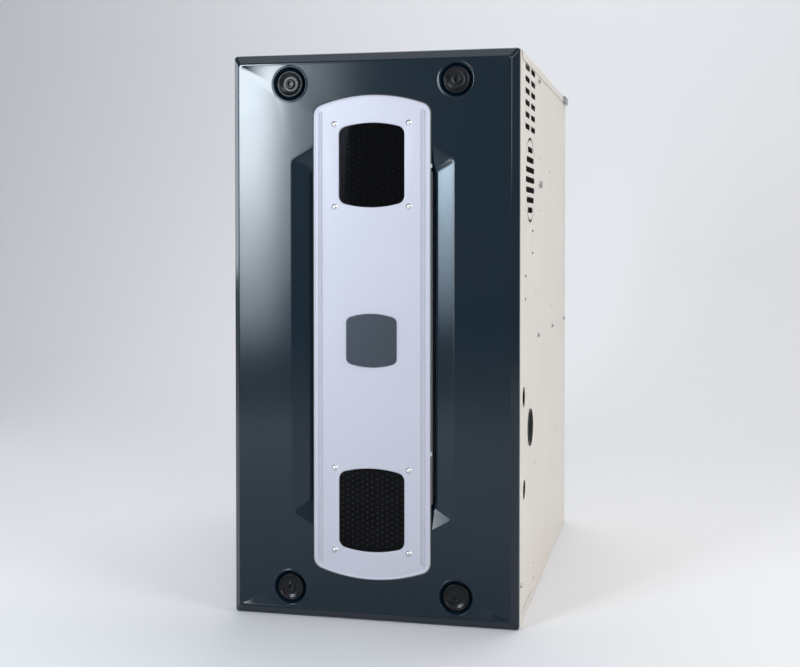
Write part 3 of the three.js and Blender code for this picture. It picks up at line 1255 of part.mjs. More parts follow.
function blowerHousing() {
  const centre = [BLOWER_Y, BLOWER_Z];
  const mouth = BLOWER_TOP_Z - BLOWER_Z;
  const outline = (wall, top) =>
    moved(scroll(BLOWER_INNER, BLOWER_OUTER, BLOWER_CUTOFF, top, 1, wall), centre);
  const shell = prism("x", outline(0, mouth), [-BLOWER_HALF_WIDTH, BLOWER_HALF_WIDTH]);
  const half = BLOWER_HALF_WIDTH - BLOWER_WALL;
  const hollow = prism("x", outline(BLOWER_WALL, mouth + OVERCUT), [-half, half]);
  const reach = BLOWER_HALF_WIDTH + OVERCUT;
  return cut(shell, [hollow, rod("x", centre, WHEEL_INNER, [-reach, reach])]);
}

function blowerWheel() {
  const centre = [BLOWER_Y, BLOWER_Z];
  const rings = bothSides.map(([, side]) => {
    const x = across(side, WHEEL_HALF_WIDTH - WHEEL_RING, WHEEL_HALF_WIDTH);
    return pipe("x", centre, WHEEL_INNER, WHEEL_RADIUS, x);
  });
  const disc = rod("x", centre, WHEEL_RADIUS, [WHEEL_DISC_X, WHEEL_DISC_X + WHEEL_DISC]);
  const hub = rod("x", centre, HUB_RADIUS, [WHEEL_DISC_X - HUB_LENGTH, WHEEL_DISC_X + WHEEL_DISC]);
  const [inner, outer] = [WHEEL_INNER + OVERCUT, WHEEL_RADIUS - OVERCUT];
  const blades = Array.from({ length: WHEEL_BLADES }, (_, i) => {
    const angle = (i * 2 * Math.PI) / WHEEL_BLADES;
    const blade = [
      polar(inner, angle, centre),
      polar(outer, angle + BLADE_LEAN, centre),
      polar(outer, angle + BLADE_LEAN + BLADE_THICKNESS, centre),
      polar(inner, angle + BLADE_THICKNESS, centre),
    ];
    return prism("x", blade, [OVERCUT - WHEEL_HALF_WIDTH, WHEEL_HALF_WIDTH - OVERCUT]);
  });
  const bore = [WHEEL_DISC_X - HUB_LENGTH - OVERCUT, WHEEL_DISC_X + WHEEL_DISC + OVERCUT];
  return cut(joined([...rings, disc, hub, ...blades]), [rod("x", centre, SHAFT_RADIUS + SEAT, bore)]);
}

function blowerMotor() {
  const profile = [
    [0, WHEEL_DISC_X - HUB_LENGTH],
    [SHAFT_RADIUS, WHEEL_DISC_X - HUB_LENGTH],
    [SHAFT_RADIUS, MOTOR_FROM_X],
    [MOTOR_RADIUS - MOTOR_BEVEL, MOTOR_FROM_X],
    [MOTOR_RADIUS, MOTOR_FROM_X + MOTOR_BEVEL],
    [MOTOR_RADIUS, MOTOR_TO_X - MOTOR_BEVEL],
    [MOTOR_RADIUS - MOTOR_BEVEL, MOTOR_TO_X],
    [0, MOTOR_TO_X],
  ];
  return turned("x", [BLOWER_Y, BLOWER_Z], profile);
}

// A band round the motor, with arms that lie on the housing beside its inlet.
function motorMount() {
  const centre = [BLOWER_Y, BLOWER_Z];
  const face = BLOWER_HALF_WIDTH + SEAT;
  const inner = MOTOR_RADIUS + SEAT;
  const band = pipe("x", centre, inner, inner + BAND_THICKNESS, spread(face, BAND_WIDTH));
  const arms = Array.from({ length: ARMS }, (_, i) => {
    const angle = Math.PI / 2 + (i * 2 * Math.PI) / ARMS;
    const root = inner + BAND_THICKNESS / 2;
    const [back, fore] = [ARM_WIDTH / 2 / root, ARM_WIDTH / 2 / ARM_REACH];
    const arm = [
      polar(root, angle - back, centre),
      polar(ARM_REACH, angle - fore, centre),
      polar(ARM_REACH, angle + fore, centre),
      polar(root, angle + back, centre),
    ];
    return prism("x", arm, [face, face + ARM_THICKNESS]);
  });
  return joined([band, ...arms]);
}

place("blower_housing", blowerHousing(), GALVANISED);
place("blower_wheel", blowerWheel(), GALVANISED);
place("blower_motor", blowerMotor(), BLACK_STEEL);
place("motor_mount", motorMount(), GALVANISED);

// ---- Controls ----

function controlPanel() {
  const x = [PANEL_X - PANEL_HALF_WIDTH, PANEL_X + PANEL_HALF_WIDTH];
  const face = block(x, [PANEL_Y, PANEL_Y + SHEET], [PANEL_BOTTOM_Z, BLOWER_TOP_Z]);
  const shelf = block(x, [PANEL_Y, PANEL_Y + PANEL_DEPTH], [BLOWER_TOP_Z - SHEET, BLOWER_TOP_Z]);
  return face.add(shelf);
}

function controlBoard() {
  const half = PANEL_HALF_WIDTH - BOARD_MARGIN;
  const z = [PANEL_BOTTOM_Z + BOARD_MARGIN, BLOWER_TOP_Z - BOARD_MARGIN];
  const board = block([PANEL_X - half, PANEL_X + half], [BOARD_FACE_Y, BOARD_Y], z);
  const proud = (depth) => [BOARD_FACE_Y - depth, BOARD_FACE_Y + BOARD_THICKNESS / 2];
  const connector = block(
    spread(HARNESS_X, CONNECTOR.width),
    proud(CONNECTOR.depth),
    [CONNECTOR_TOP_Z - CONNECTOR.height, CONNECTOR_TOP_Z],
  );
  const relays = Array.from({ length: RELAYS }, (_, i) => {
    const middle = PANEL_X + (i - (RELAYS - 1) / 2) * RELAY_PITCH;
    const low = z[0] + RELAY_RISE;
    return block(spread(middle, RELAY.width), proud(RELAY.depth), [low, low + RELAY.height]);
  });
  return joined([board, connector, ...relays]);
}

function transformer() {
  const top = BLOWER_TOP_Z;
  const core = block(
    spread(TRANSFORMER_X, TRANSFORMER.width),
    spread(TRANSFORMER.y, TRANSFORMER.depth),
    [top - TRANSFORMER.height, top],
  );
  const foot = block(
    spread(TRANSFORMER_X, TRANSFORMER.width + 2 * TRANSFORMER.flange),
    spread(TRANSFORMER.y, TRANSFORMER.depth),
    [top - TRANSFORMER.plate, top],
  );
  return core.add(foot);
}

const plungerFrontY = FLOOR_BACK_Y + SEAT;
const plungerBackY = INSIDE_FRONT_Y + PLUNGER_BORE - SEAT;

function interlockSwitch() {
  const half = SWITCH.width / 2;
  const y = [INSIDE_FRONT_Y, INSIDE_FRONT_Y + SWITCH.depth];
  const body = block([SWITCH.x - half, SWITCH.x + half], y, [BLOWER_TOP_Z - SWITCH.height, BLOWER_TOP_Z]);
  const bore = [INSIDE_FRONT_Y - OVERCUT, INSIDE_FRONT_Y + PLUNGER_BORE];
  return body.subtract(rod("y", [SWITCH.x, SWITCH_Z], PLUNGER_RADIUS + SEAT, bore, SMALL_SIDES));
}

function pressureSwitch() {
  const back = VESTIBULE_Y - SEAT;
  const front = back - PRESSURE_SWITCH.depth;
  const { radius, rim } = PRESSURE_SWITCH;
  const profile = [
    [0, front],
    [radius - 2 * rim, front],
    [radius - rim, front + rim],
    [radius - rim, front + 2 * rim],
    [radius, front + 2 * rim],
    [radius, back],
    [0, back],
  ];
  return turned("y", [PRESSURE_SWITCH.x, PRESSURE_SWITCH_Z], profile);
}

function pressureHose() {
  const y = VESTIBULE_Y - SEAT - PRESSURE_SWITCH.rim;
  const turn = COLLECTOR_TOP_Z + HOSE_RISE;
  const corners = [
    [HOSE_X, y, COLLECTOR_TOP_Z + SEAT],
    [HOSE_X, y, turn],
    [PRESSURE_SWITCH.x, y, turn],
    [PRESSURE_SWITCH.x, y, PRESSURE_SWITCH_Z - PRESSURE_SWITCH.radius - SEAT],
  ];
  return swept(new PipeRoute(corners, HOSE_BEND), HOSE_RADIUS);
}

function condensateTrap() {
  const body = block(
    spread(TRAP.x, TRAP.width),
    spread(TRAP.y, TRAP.depth),
    [TRAP_BOTTOM_Z, BLOWER_TOP_Z],
  );
  const upright = (radius, z) => rod("z", [TRAP.x, TRAP.y], radius, z);
  const spigot = upright(DRAIN_RADIUS, [TRAP_BOTTOM_Z - TRAP.spigot, TRAP_BOTTOM_Z + OVERCUT]);
  const socket = upright(DRAIN_RADIUS + SEAT, [BLOWER_TOP_Z - TRAP.socket, BLOWER_TOP_Z + OVERCUT]);
  const bore = upright(DRAIN_RADIUS - DRAIN_WALL, [TRAP_BOTTOM_Z - 2 * TRAP.spigot, BLOWER_TOP_Z]);
  return cut(body.add(spigot), [socket, bore]);
}

function wiringHarness() {
  const startY = BOARD_FACE_Y - CONNECTOR.depth / 2;
  const valveBottom = VALVE_TOP_Z - VALVE_HEIGHT;
  const low = CONNECTOR_TOP_Z + HARNESS_TURN;
  const high = valveBottom - HARNESS_TURN;
  const corners = [
    [HARNESS_X, startY, CONNECTOR_TOP_Z + SEAT],
    [HARNESS_X, startY, low],
    [HARNESS_X, HARNESS_Y, low],
    [HARNESS_X, HARNESS_Y, high],
    [HARNESS_X, MANIFOLD_Y, high],
    [HARNESS_X, MANIFOLD_Y, valveBottom - SEAT],
  ];
  return swept(new PipeRoute(corners, HARNESS_BEND), HARNESS_RADIUS);
}

place("control_panel", controlPanel(), GALVANISED);
place("control_board", controlBoard(), BOARD_GREEN);
place("transformer", transformer(), BLACK_STEEL);
place("interlock_switch", interlockSwitch(), BLACK_PLASTIC);
const plungerY = [plungerFrontY, plungerBackY];
const plunger = rod("y", [SWITCH.x, SWITCH_Z], PLUNGER_RADIUS, plungerY, SMALL_SIDES);
place("interlock_plunger", plunger, RED_PLASTIC);
place("pressure_switch", pressureSwitch(), BLACK_PLASTIC);
place("pressure_hose", pressureHose(), RUBBER);
const limitY = [VESTIBULE_Y - SEAT - LIMIT.depth, VESTIBULE_Y - SEAT];
const limitZ = COLLECTOR_TOP_Z + LIMIT.rise;
place("limit_switch", rod("y", [LIMIT.x, limitZ], LIMIT.radius, limitY), GALVANISED);
place("condensate_trap", condensateTrap(), WHITE_PLASTIC);
place("wiring_harness", wiringHarness(), RUBBER);

export default furnace;
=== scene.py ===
import json
from math import atan2, cos, hypot, pi, radians, sin, sqrt

import bmesh
import bpy
import numpy as np
from mathutils import Matrix, Vector
from mathutils.geometry import delaunay_2d_cdt

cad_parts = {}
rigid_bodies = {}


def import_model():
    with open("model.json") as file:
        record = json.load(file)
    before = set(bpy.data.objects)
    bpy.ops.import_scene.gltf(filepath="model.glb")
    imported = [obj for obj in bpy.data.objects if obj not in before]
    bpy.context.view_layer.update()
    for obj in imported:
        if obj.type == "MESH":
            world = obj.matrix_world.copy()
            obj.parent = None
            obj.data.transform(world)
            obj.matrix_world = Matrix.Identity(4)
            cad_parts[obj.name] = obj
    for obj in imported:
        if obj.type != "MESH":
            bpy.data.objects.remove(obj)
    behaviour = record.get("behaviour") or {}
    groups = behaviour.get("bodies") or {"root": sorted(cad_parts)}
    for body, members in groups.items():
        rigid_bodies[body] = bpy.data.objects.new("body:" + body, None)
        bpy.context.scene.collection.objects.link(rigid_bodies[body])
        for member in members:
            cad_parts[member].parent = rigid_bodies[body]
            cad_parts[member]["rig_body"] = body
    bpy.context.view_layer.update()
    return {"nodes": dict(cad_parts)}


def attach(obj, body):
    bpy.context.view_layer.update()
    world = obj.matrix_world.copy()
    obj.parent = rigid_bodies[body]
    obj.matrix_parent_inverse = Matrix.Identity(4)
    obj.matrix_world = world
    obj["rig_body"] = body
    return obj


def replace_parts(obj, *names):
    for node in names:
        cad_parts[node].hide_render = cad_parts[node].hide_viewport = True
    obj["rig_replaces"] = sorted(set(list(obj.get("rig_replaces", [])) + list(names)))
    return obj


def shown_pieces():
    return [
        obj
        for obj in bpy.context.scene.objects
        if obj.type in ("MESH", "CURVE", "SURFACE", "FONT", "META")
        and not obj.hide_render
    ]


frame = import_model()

# Sizes are in millimetres here and become metres when a piece is finished.
MM = 0.001

HALF_WIDTH = 222.25
MIDDLE_Z = 431.8
REAR_Y = 368.3
CASE_FRONT_Y = -342.9
DOOR_FACE_Y = -368.3
EDGE_Y = -356.3
LIP_BACK_Y = -346.5
SHEET = 1.2
SEAT = 0.3
SHARP_ANGLE = 35
SOFT_EDGE = 0.5
POCKET_HALF_WIDTH = 126
POCKET_APEX = 338
POCKET_RISE = 0.547
POCKET_DEPTH = 16
FLOOR_Y = DOOR_FACE_Y + POCKET_DEPTH
STRIP_FACE_Y = DOOR_FACE_Y - 3
STRIP_BACK_Y = DOOR_FACE_Y - SEAT
CUP_DEPTH = 8.5
LATCH_X = HALF_WIDTH - 93.2
LATCH_Z = MIDDLE_Z - 46
WINDOW_OFFSET = 260.5
WINDOW_OFFSETS = (WINDOW_OFFSET, -WINDOW_OFFSET)
STRIP_HALF_WIDTH = 90.5
RIB_X = 79.5
SIDE_OUT = 220.75
SIDE_IN = SIDE_OUT - SHEET
WALL_TOP_Z = 862.1
SIDE_REAR_Y = REAR_Y - SHEET - SEAT
PIPE_HOLE = (-218, 282)
ROUND_VENT = (-217, 674)


# ---- Camera, lights and stage ----

def camera():
    focal, middle_px, horizon_px = 1242.7, 407, 260
    yaw, pitch = -0.2203, -0.0206
    data = bpy.data.cameras.new("photo_camera")
    data.sensor_fit = "HORIZONTAL"
    data.sensor_width = 36
    data.lens = focal * 36 / 800
    data.shift_x = (400 - middle_px) / 800
    data.shift_y = (horizon_px - 333.5) / 800
    data.clip_end = 50
    made = bpy.data.objects.new("photo_camera", data)
    ahead = Vector((sin(yaw) * cos(pitch), cos(yaw) * cos(pitch), sin(pitch)))
    across = ahead.cross(Vector((0, 0, 1))).normalized()
    upright = across.cross(ahead)
    turn = Matrix((across, upright, -ahead)).transposed()
    made.matrix_world = Matrix.Translation(Vector((460.5, -2182.1, 588.2)) * MM) @ turn.to_4x4()
    bpy.context.scene.collection.objects.link(made)
    bpy.context.scene.camera = made


def lamp(name, place, target, size, power, colour=(1, 1, 1), fade=None):
    """A softbox; `fade` is where it goes dark towards its foot and where it is full, from 0 to 1."""
    data = bpy.data.lights.new(name, "AREA")
    data.shape = "RECTANGLE"
    data.size, data.size_y = size
    data.energy = power
    data.color = colour
    if fade:
        data.use_nodes = True
        tree = data.node_tree
        place_on_lamp = tree.nodes.new("ShaderNodeNewGeometry")
        parts = tree.nodes.new("ShaderNodeSeparateXYZ")
        band = tree.nodes.new("ShaderNodeMapRange")
        band.inputs["From Min"].default_value, band.inputs["From Max"].default_value = fade
        tree.links.new(place_on_lamp.outputs["Parametric"], parts.inputs[0])
        tree.links.new(parts.outputs["Y"], band.inputs["Value"])
        tree.links.new(band.outputs[0], tree.nodes["Emission"].inputs["Strength"])
    made = bpy.data.objects.new(name, data)
    made.location = place
    made.rotation_mode = "QUATERNION"
    made.rotation_quaternion = (Vector(target) - Vector(place)).to_track_quat("-Z", "Y")
    made.visible_camera = False
    bpy.context.scene.collection.objects.link(made)


# ---- Materials ----

class Socket:
    """A node's output that takes part in sums and products."""

    def __init__(self, finish, output):
        self.finish, self.output = finish, output

    def __add__(self, other):
        return self.finish.maths("ADD", self, other)

    def __radd__(self, other):
        return self.finish.maths("ADD", other, self)

    def __sub__(self, other):
        return self.finish.maths("SUBTRACT", self, other)

    def __rsub__(self, other):
        return self.finish.maths("SUBTRACT", other, self)

    def __mul__(self, other):
        return self.finish.maths("MULTIPLY", self, other)

    def __rmul__(self, other):
        return self.finish.maths("MULTIPLY", other, self)


def socket_named(sockets, key):
    if isinstance(key, int):
        return sockets[key]
    return next(s for s in sockets if s.enabled and key in (s.name, s.identifier))


class Finish:
    """A procedural material, made node by node."""

    def __init__(self, name):
        self.material = bpy.data.materials.new(name)
        self.material.use_nodes = True
        self.tree = self.material.node_tree
        self.tree.nodes.clear()
        self.place = self.node("ShaderNodeTexCoord", out="Object")

    def node(self, kind, settings=None, inputs=None, out=0):
        """A node with its settings, then the values or links of its sockets, and the output it gives."""
        made = self.tree.nodes.new(kind)
        for key, value in (settings or {}).items():
            setattr(made, key, value)
        for key, value in (inputs or {}).items():
            target = socket_named(made.inputs, key)
            if isinstance(value, Socket):
                self.tree.links.new(value.output, target)
            elif isinstance(value, tuple) and target.type == "RGBA":
                target.default_value = (*value, 1)
            else:
                target.default_value = value
        return Socket(self, socket_named(made.outputs, out)) if made.outputs else made

    def maths(self, operation, first, second):
        return self.node("ShaderNodeMath", {"operation": operation}, {0: first, 1: second})

    def noise(self, scale, detail, roughness=0.5, place=None):
        inputs = {"Vector": place or self.place, "Scale": scale, "Detail": detail, "Roughness": roughness}
        return self.node("ShaderNodeTexNoise", {}, inputs, "Fac")

    def stretched(self, x, y, z):
        """The object's coordinates, each multiplied by its own factor."""
        settings = {"operation": "MULTIPLY"}
        return self.node("ShaderNodeVectorMath", settings, {0: self.place, 1: (x, y, z)})

    def mixed(self, factor, first, second):
        inputs = {"Factor_Float": factor, "A_Color": first, "B_Color": second}
        return self.node("ShaderNodeMix", {"data_type": "RGBA"}, inputs, "Result_Color")

    def band(self, value, low, high):
        """Where a value lies between low and high, from 0 to 1."""
        inputs = {"Value": value, "From Min": low, "From Max": high}
        return self.node("ShaderNodeMapRange", {"clamp": True}, inputs)

    def bump(self, height, distance):
        return self.node("ShaderNodeBump", {}, {"Height": height, "Distance": distance, "Strength": 1.0})

    def done(self, **values):
        """Ends the material in one shader; an underscore in a value's name stands for a space."""
        inputs = {key.replace("_", " "): value for key, value in values.items()}
        shader = self.node("ShaderNodeBsdfPrincipled", {}, inputs)
        self.node("ShaderNodeOutputMaterial", {}, {"Surface": shader})
        return self.material


def painted(name, colour, darker, roughness, peel, **more):
    """Sprayed enamel: a faint mottle in its colour, an orange-peel skin and softly varied gloss."""
    f = Finish(name)
    mottle = f.noise(7, 4)
    grain = f.noise(650, 2)
    skin = f.bump(f.noise(260, 2), peel)
    base = f.mixed(f.band(mottle, 0.35, 0.68) * 0.7 + grain * 0.3, colour, darker)
    gloss = roughness + (mottle - 0.5) * 0.08 + (grain - 0.5) * 0.04
    return f.done(Base_Color=base, Roughness=gloss, Normal=skin, **more)


def sheet_metal(name, colour, darker, roughness, flake_scale):
    """Zinc-coated steel: crystals that catch the light differently, over a rolled grain."""
    f = Finish(name)
    settings = {"feature": "F1", "distance": "EUCLIDEAN"}
    flake = f.node("ShaderNodeTexVoronoi", settings, {"Vector": f.place, "Scale": flake_scale}, "Color")
    tone = f.node("ShaderNodeSeparateColor", {}, {"Color": flake})
    rolled = f.noise(60, 3, place=f.stretched(1, 1, 22))
    base = f.mixed(tone * 0.65 + rolled * 0.35, colour, darker)
    gloss = roughness + (tone - 0.5) * 0.16
    skin = f.bump(tone * 0.5 + rolled * 0.5, 0.00002)
    return f.done(Base_Color=base, Roughness=gloss, Metallic=0.9, Normal=skin)


def moulded(name, colour, darker, roughness, texture, **more):
    """Moulded plastic or rubber with a fine spark-eroded texture and a little dust in it."""
    f = Finish(name)
    fine = f.noise(1500, 2)
    dust = f.noise(24, 5, 0.62)
    base = f.mixed(f.band(dust, 0.4, 0.72) * 0.8 + fine * 0.2, colour, darker)
    skin = f.bump(fine, texture)
    return f.done(Base_Color=base, Roughness=roughness + (dust - 0.5) * 0.16, Normal=skin, **more)


def cast_metal():
    f = Finish("cast_aluminium")
    grain = f.noise(900, 3)
    stain = f.noise(30, 4)
    base = f.mixed(f.band(stain, 0.35, 0.7), (0.34, 0.35, 0.36), (0.22, 0.225, 0.235))
    skin = f.bump(grain, 0.00006)
    return f.done(Base_Color=base, Roughness=0.46 + (grain - 0.5) * 0.2, Metallic=0.85, Normal=skin)


def foam():
    f = Finish("foam")
    settings = {"feature": "F1"}
    pores = f.node("ShaderNodeTexVoronoi", settings, {"Vector": f.place, "Scale": 900}, "Distance")
    base = f.mixed(f.band(pores, 0.1, 0.7), (0.006, 0.006, 0.007), (0.03, 0.031, 0.033))
    return f.done(Base_Color=base, Roughness=0.95, Normal=f.bump(pores, 0.0003))


def stage_pale(name, colour):
    """Plain, pale and matt, so that the object's shadow stays on it."""
    f = Finish(name)
    base = f.mixed(f.noise(3, 2) * 0.15, colour, tuple(c * 0.97 for c in colour))
    return f.done(Base_Color=base, Roughness=0.9, Specular_IOR_Level=0.1)


CREAM = painted("cream_paint", (0.735, 0.69, 0.63), (0.70, 0.65, 0.585), 0.42, 0.00003)
DOOR = painted(
    "door_paint", (0.0042, 0.0125, 0.0205), (0.0034, 0.0105, 0.0175), 0.13, 0.000006, Specular_IOR_Level=0.35
)
SILVER = painted(
    "silver_paint", (0.445, 0.442, 0.498), (0.425, 0.422, 0.478), 0.38, 0.00002,
    Metallic=0.1, Specular_IOR_Level=0.3,
)
GLASS = painted(
    "dark_glass", (0.0025, 0.0028, 0.0034), (0.0018, 0.002, 0.0026), 0.06, 0.000004,
    Alpha=0.62, Specular_IOR_Level=0.1,
)
BLACK_STEEL = painted(
    "black_steel", (0.004, 0.0044, 0.005), (0.003, 0.0033, 0.0038), 0.5, 0.00005, Specular_IOR_Level=0.15
)
BADGE = painted(
    "badge_grey", (0.027, 0.036, 0.049), (0.023, 0.031, 0.042), 0.42, 0.00002, Specular_IOR_Level=0.3
)
BLACK_PLASTIC = moulded(
    "black_plastic", (0.0035, 0.004, 0.0052), (0.0055, 0.0062, 0.0075), 0.24, 0.00002, Specular_IOR_Level=0.25
)
BRIGHT_STEEL = painted("bright_steel", (0.72, 0.72, 0.74), (0.62, 0.62, 0.64), 0.2, 0.000006, Metallic=1.0)
GALVANISED = sheet_metal("galvanised", (0.42, 0.435, 0.45), (0.30, 0.315, 0.33), 0.38, 90)
ALUMINISED = sheet_metal("aluminised", (0.46, 0.455, 0.43), (0.36, 0.355, 0.335), 0.42, 260)
RUBBER = moulded("rubber", (0.021, 0.022, 0.024), (0.03, 0.031, 0.033), 0.7, 0.00006)
WHITE_PLASTIC = moulded("white_plastic", (0.76, 0.76, 0.73), (0.7, 0.7, 0.66), 0.4, 0.00002)
BOARD = moulded("board_green", (0.012, 0.085, 0.035), (0.008, 0.06, 0.026), 0.35, 0.00003)
RED_PLASTIC = moulded("red_plastic", (0.36, 0.017, 0.012), (0.28, 0.013, 0.01), 0.4, 0.00003)
CERAMIC = moulded("ceramic", (0.76, 0.72, 0.63), (0.66, 0.61, 0.52), 0.62, 0.00005)
CAST = cast_metal()
FOAM = foam()

SLOT_FINISHES = {
    "cream_paint": CREAM,
    "door_paint": DOOR,
    "silver": SILVER,
    "dark_glass": GLASS,
    "black_steel": BLACK_STEEL,
    "badge_grey": BADGE,
    "black_plastic": BLACK_PLASTIC,
    "foam": FOAM,
    "galvanised": GALVANISED,
    "aluminised": ALUMINISED,
    "rubber": RUBBER,
    "white_plastic": WHITE_PLASTIC,
    "board_green": BOARD,
    "red_plastic": RED_PLASTIC,
    "ceramic": CERAMIC,
    "cast_aluminium": CAST,
}


# ---- Mesh code ----

def polar(radius, angle, centre=(0, 0)):
    return (centre[0] + radius * cos(angle), centre[1] + radius * sin(angle))


def arc(radius, start, end, steps, centre=(0, 0)):
    return [polar(radius, start + (end - start) * i / steps, centre) for i in range(steps + 1)]


def circle(radius, centre=(0, 0), steps=48):
    return arc(radius, 0, 2 * pi, steps, centre)[:-1]


def round_rect(half_u, half_v, radius, centre=(0, 0), steps=6):
    points = []
    for i, (su, sv) in enumerate([(1, 1), (-1, 1), (-1, -1), (1, -1)]):
        middle = (centre[0] + su * (half_u - radius), centre[1] + sv * (half_v - radius))
        points += arc(radius, i * pi / 2, (i + 1) * pi / 2, steps, middle)
    return points


def barrel(half_u, half_v, sagitta, corner, middle_v, corner_steps=6, steps=24):
    """Straight sides and bowed ends, rounded where they meet."""
    bow = (half_u**2 + sagitta**2) / (2 * sagitta)
    bow_v = half_v - bow
    corner_u = half_u - corner
    corner_v = bow_v + sqrt((bow - corner) ** 2 - corner_u**2)
    meet = atan2(corner_v - bow_v, corner_u)
    end = arc(corner, 0, meet, corner_steps, (corner_u, corner_v))
    end += arc(bow, meet, pi - meet, steps, (0, bow_v))[1:-1]
    end += arc(corner, pi - meet, pi, corner_steps, (-corner_u, corner_v))
    return [(u, v + middle_v) for u, v in end + [(-u, -v) for u, v in end]]


def rounded(corners, radius, steps):
    """A closed outline with each corner rounded."""
    points = []
    count = len(corners)
    for i, corner in enumerate(corners):
        here = Vector(corner)
        before = (Vector(corners[i - 1]) - here).normalized()
        after = (Vector(corners[(i + 1) % count]) - here).normalized()
        for k in range(steps + 1):
            t = k / steps
            start, end = here + before * radius, here + after * radius
            points.append(tuple(start * (1 - t) ** 2 + here * 2 * t * (1 - t) + end * t * t))
    return points


def eased(points, radius, steps):
    """An open line with each inner corner rounded, wherever its two legs leave room."""
    points = [Vector(p) for p in points]
    made = [points[0]]
    for before, here, after in zip(points, points[1:], points[2:]):
        reach = min(radius, (before - here).length * 0.48, (after - here).length * 0.48)
        start = here + (before - here).normalized() * reach
        end = here + (after - here).normalized() * reach
        for k in range(steps + 1):
            t = k / steps
            made.append(start * (1 - t) ** 2 + here * 2 * t * (1 - t) + end * t * t)
    return [tuple(p) for p in made + [points[-1]]]


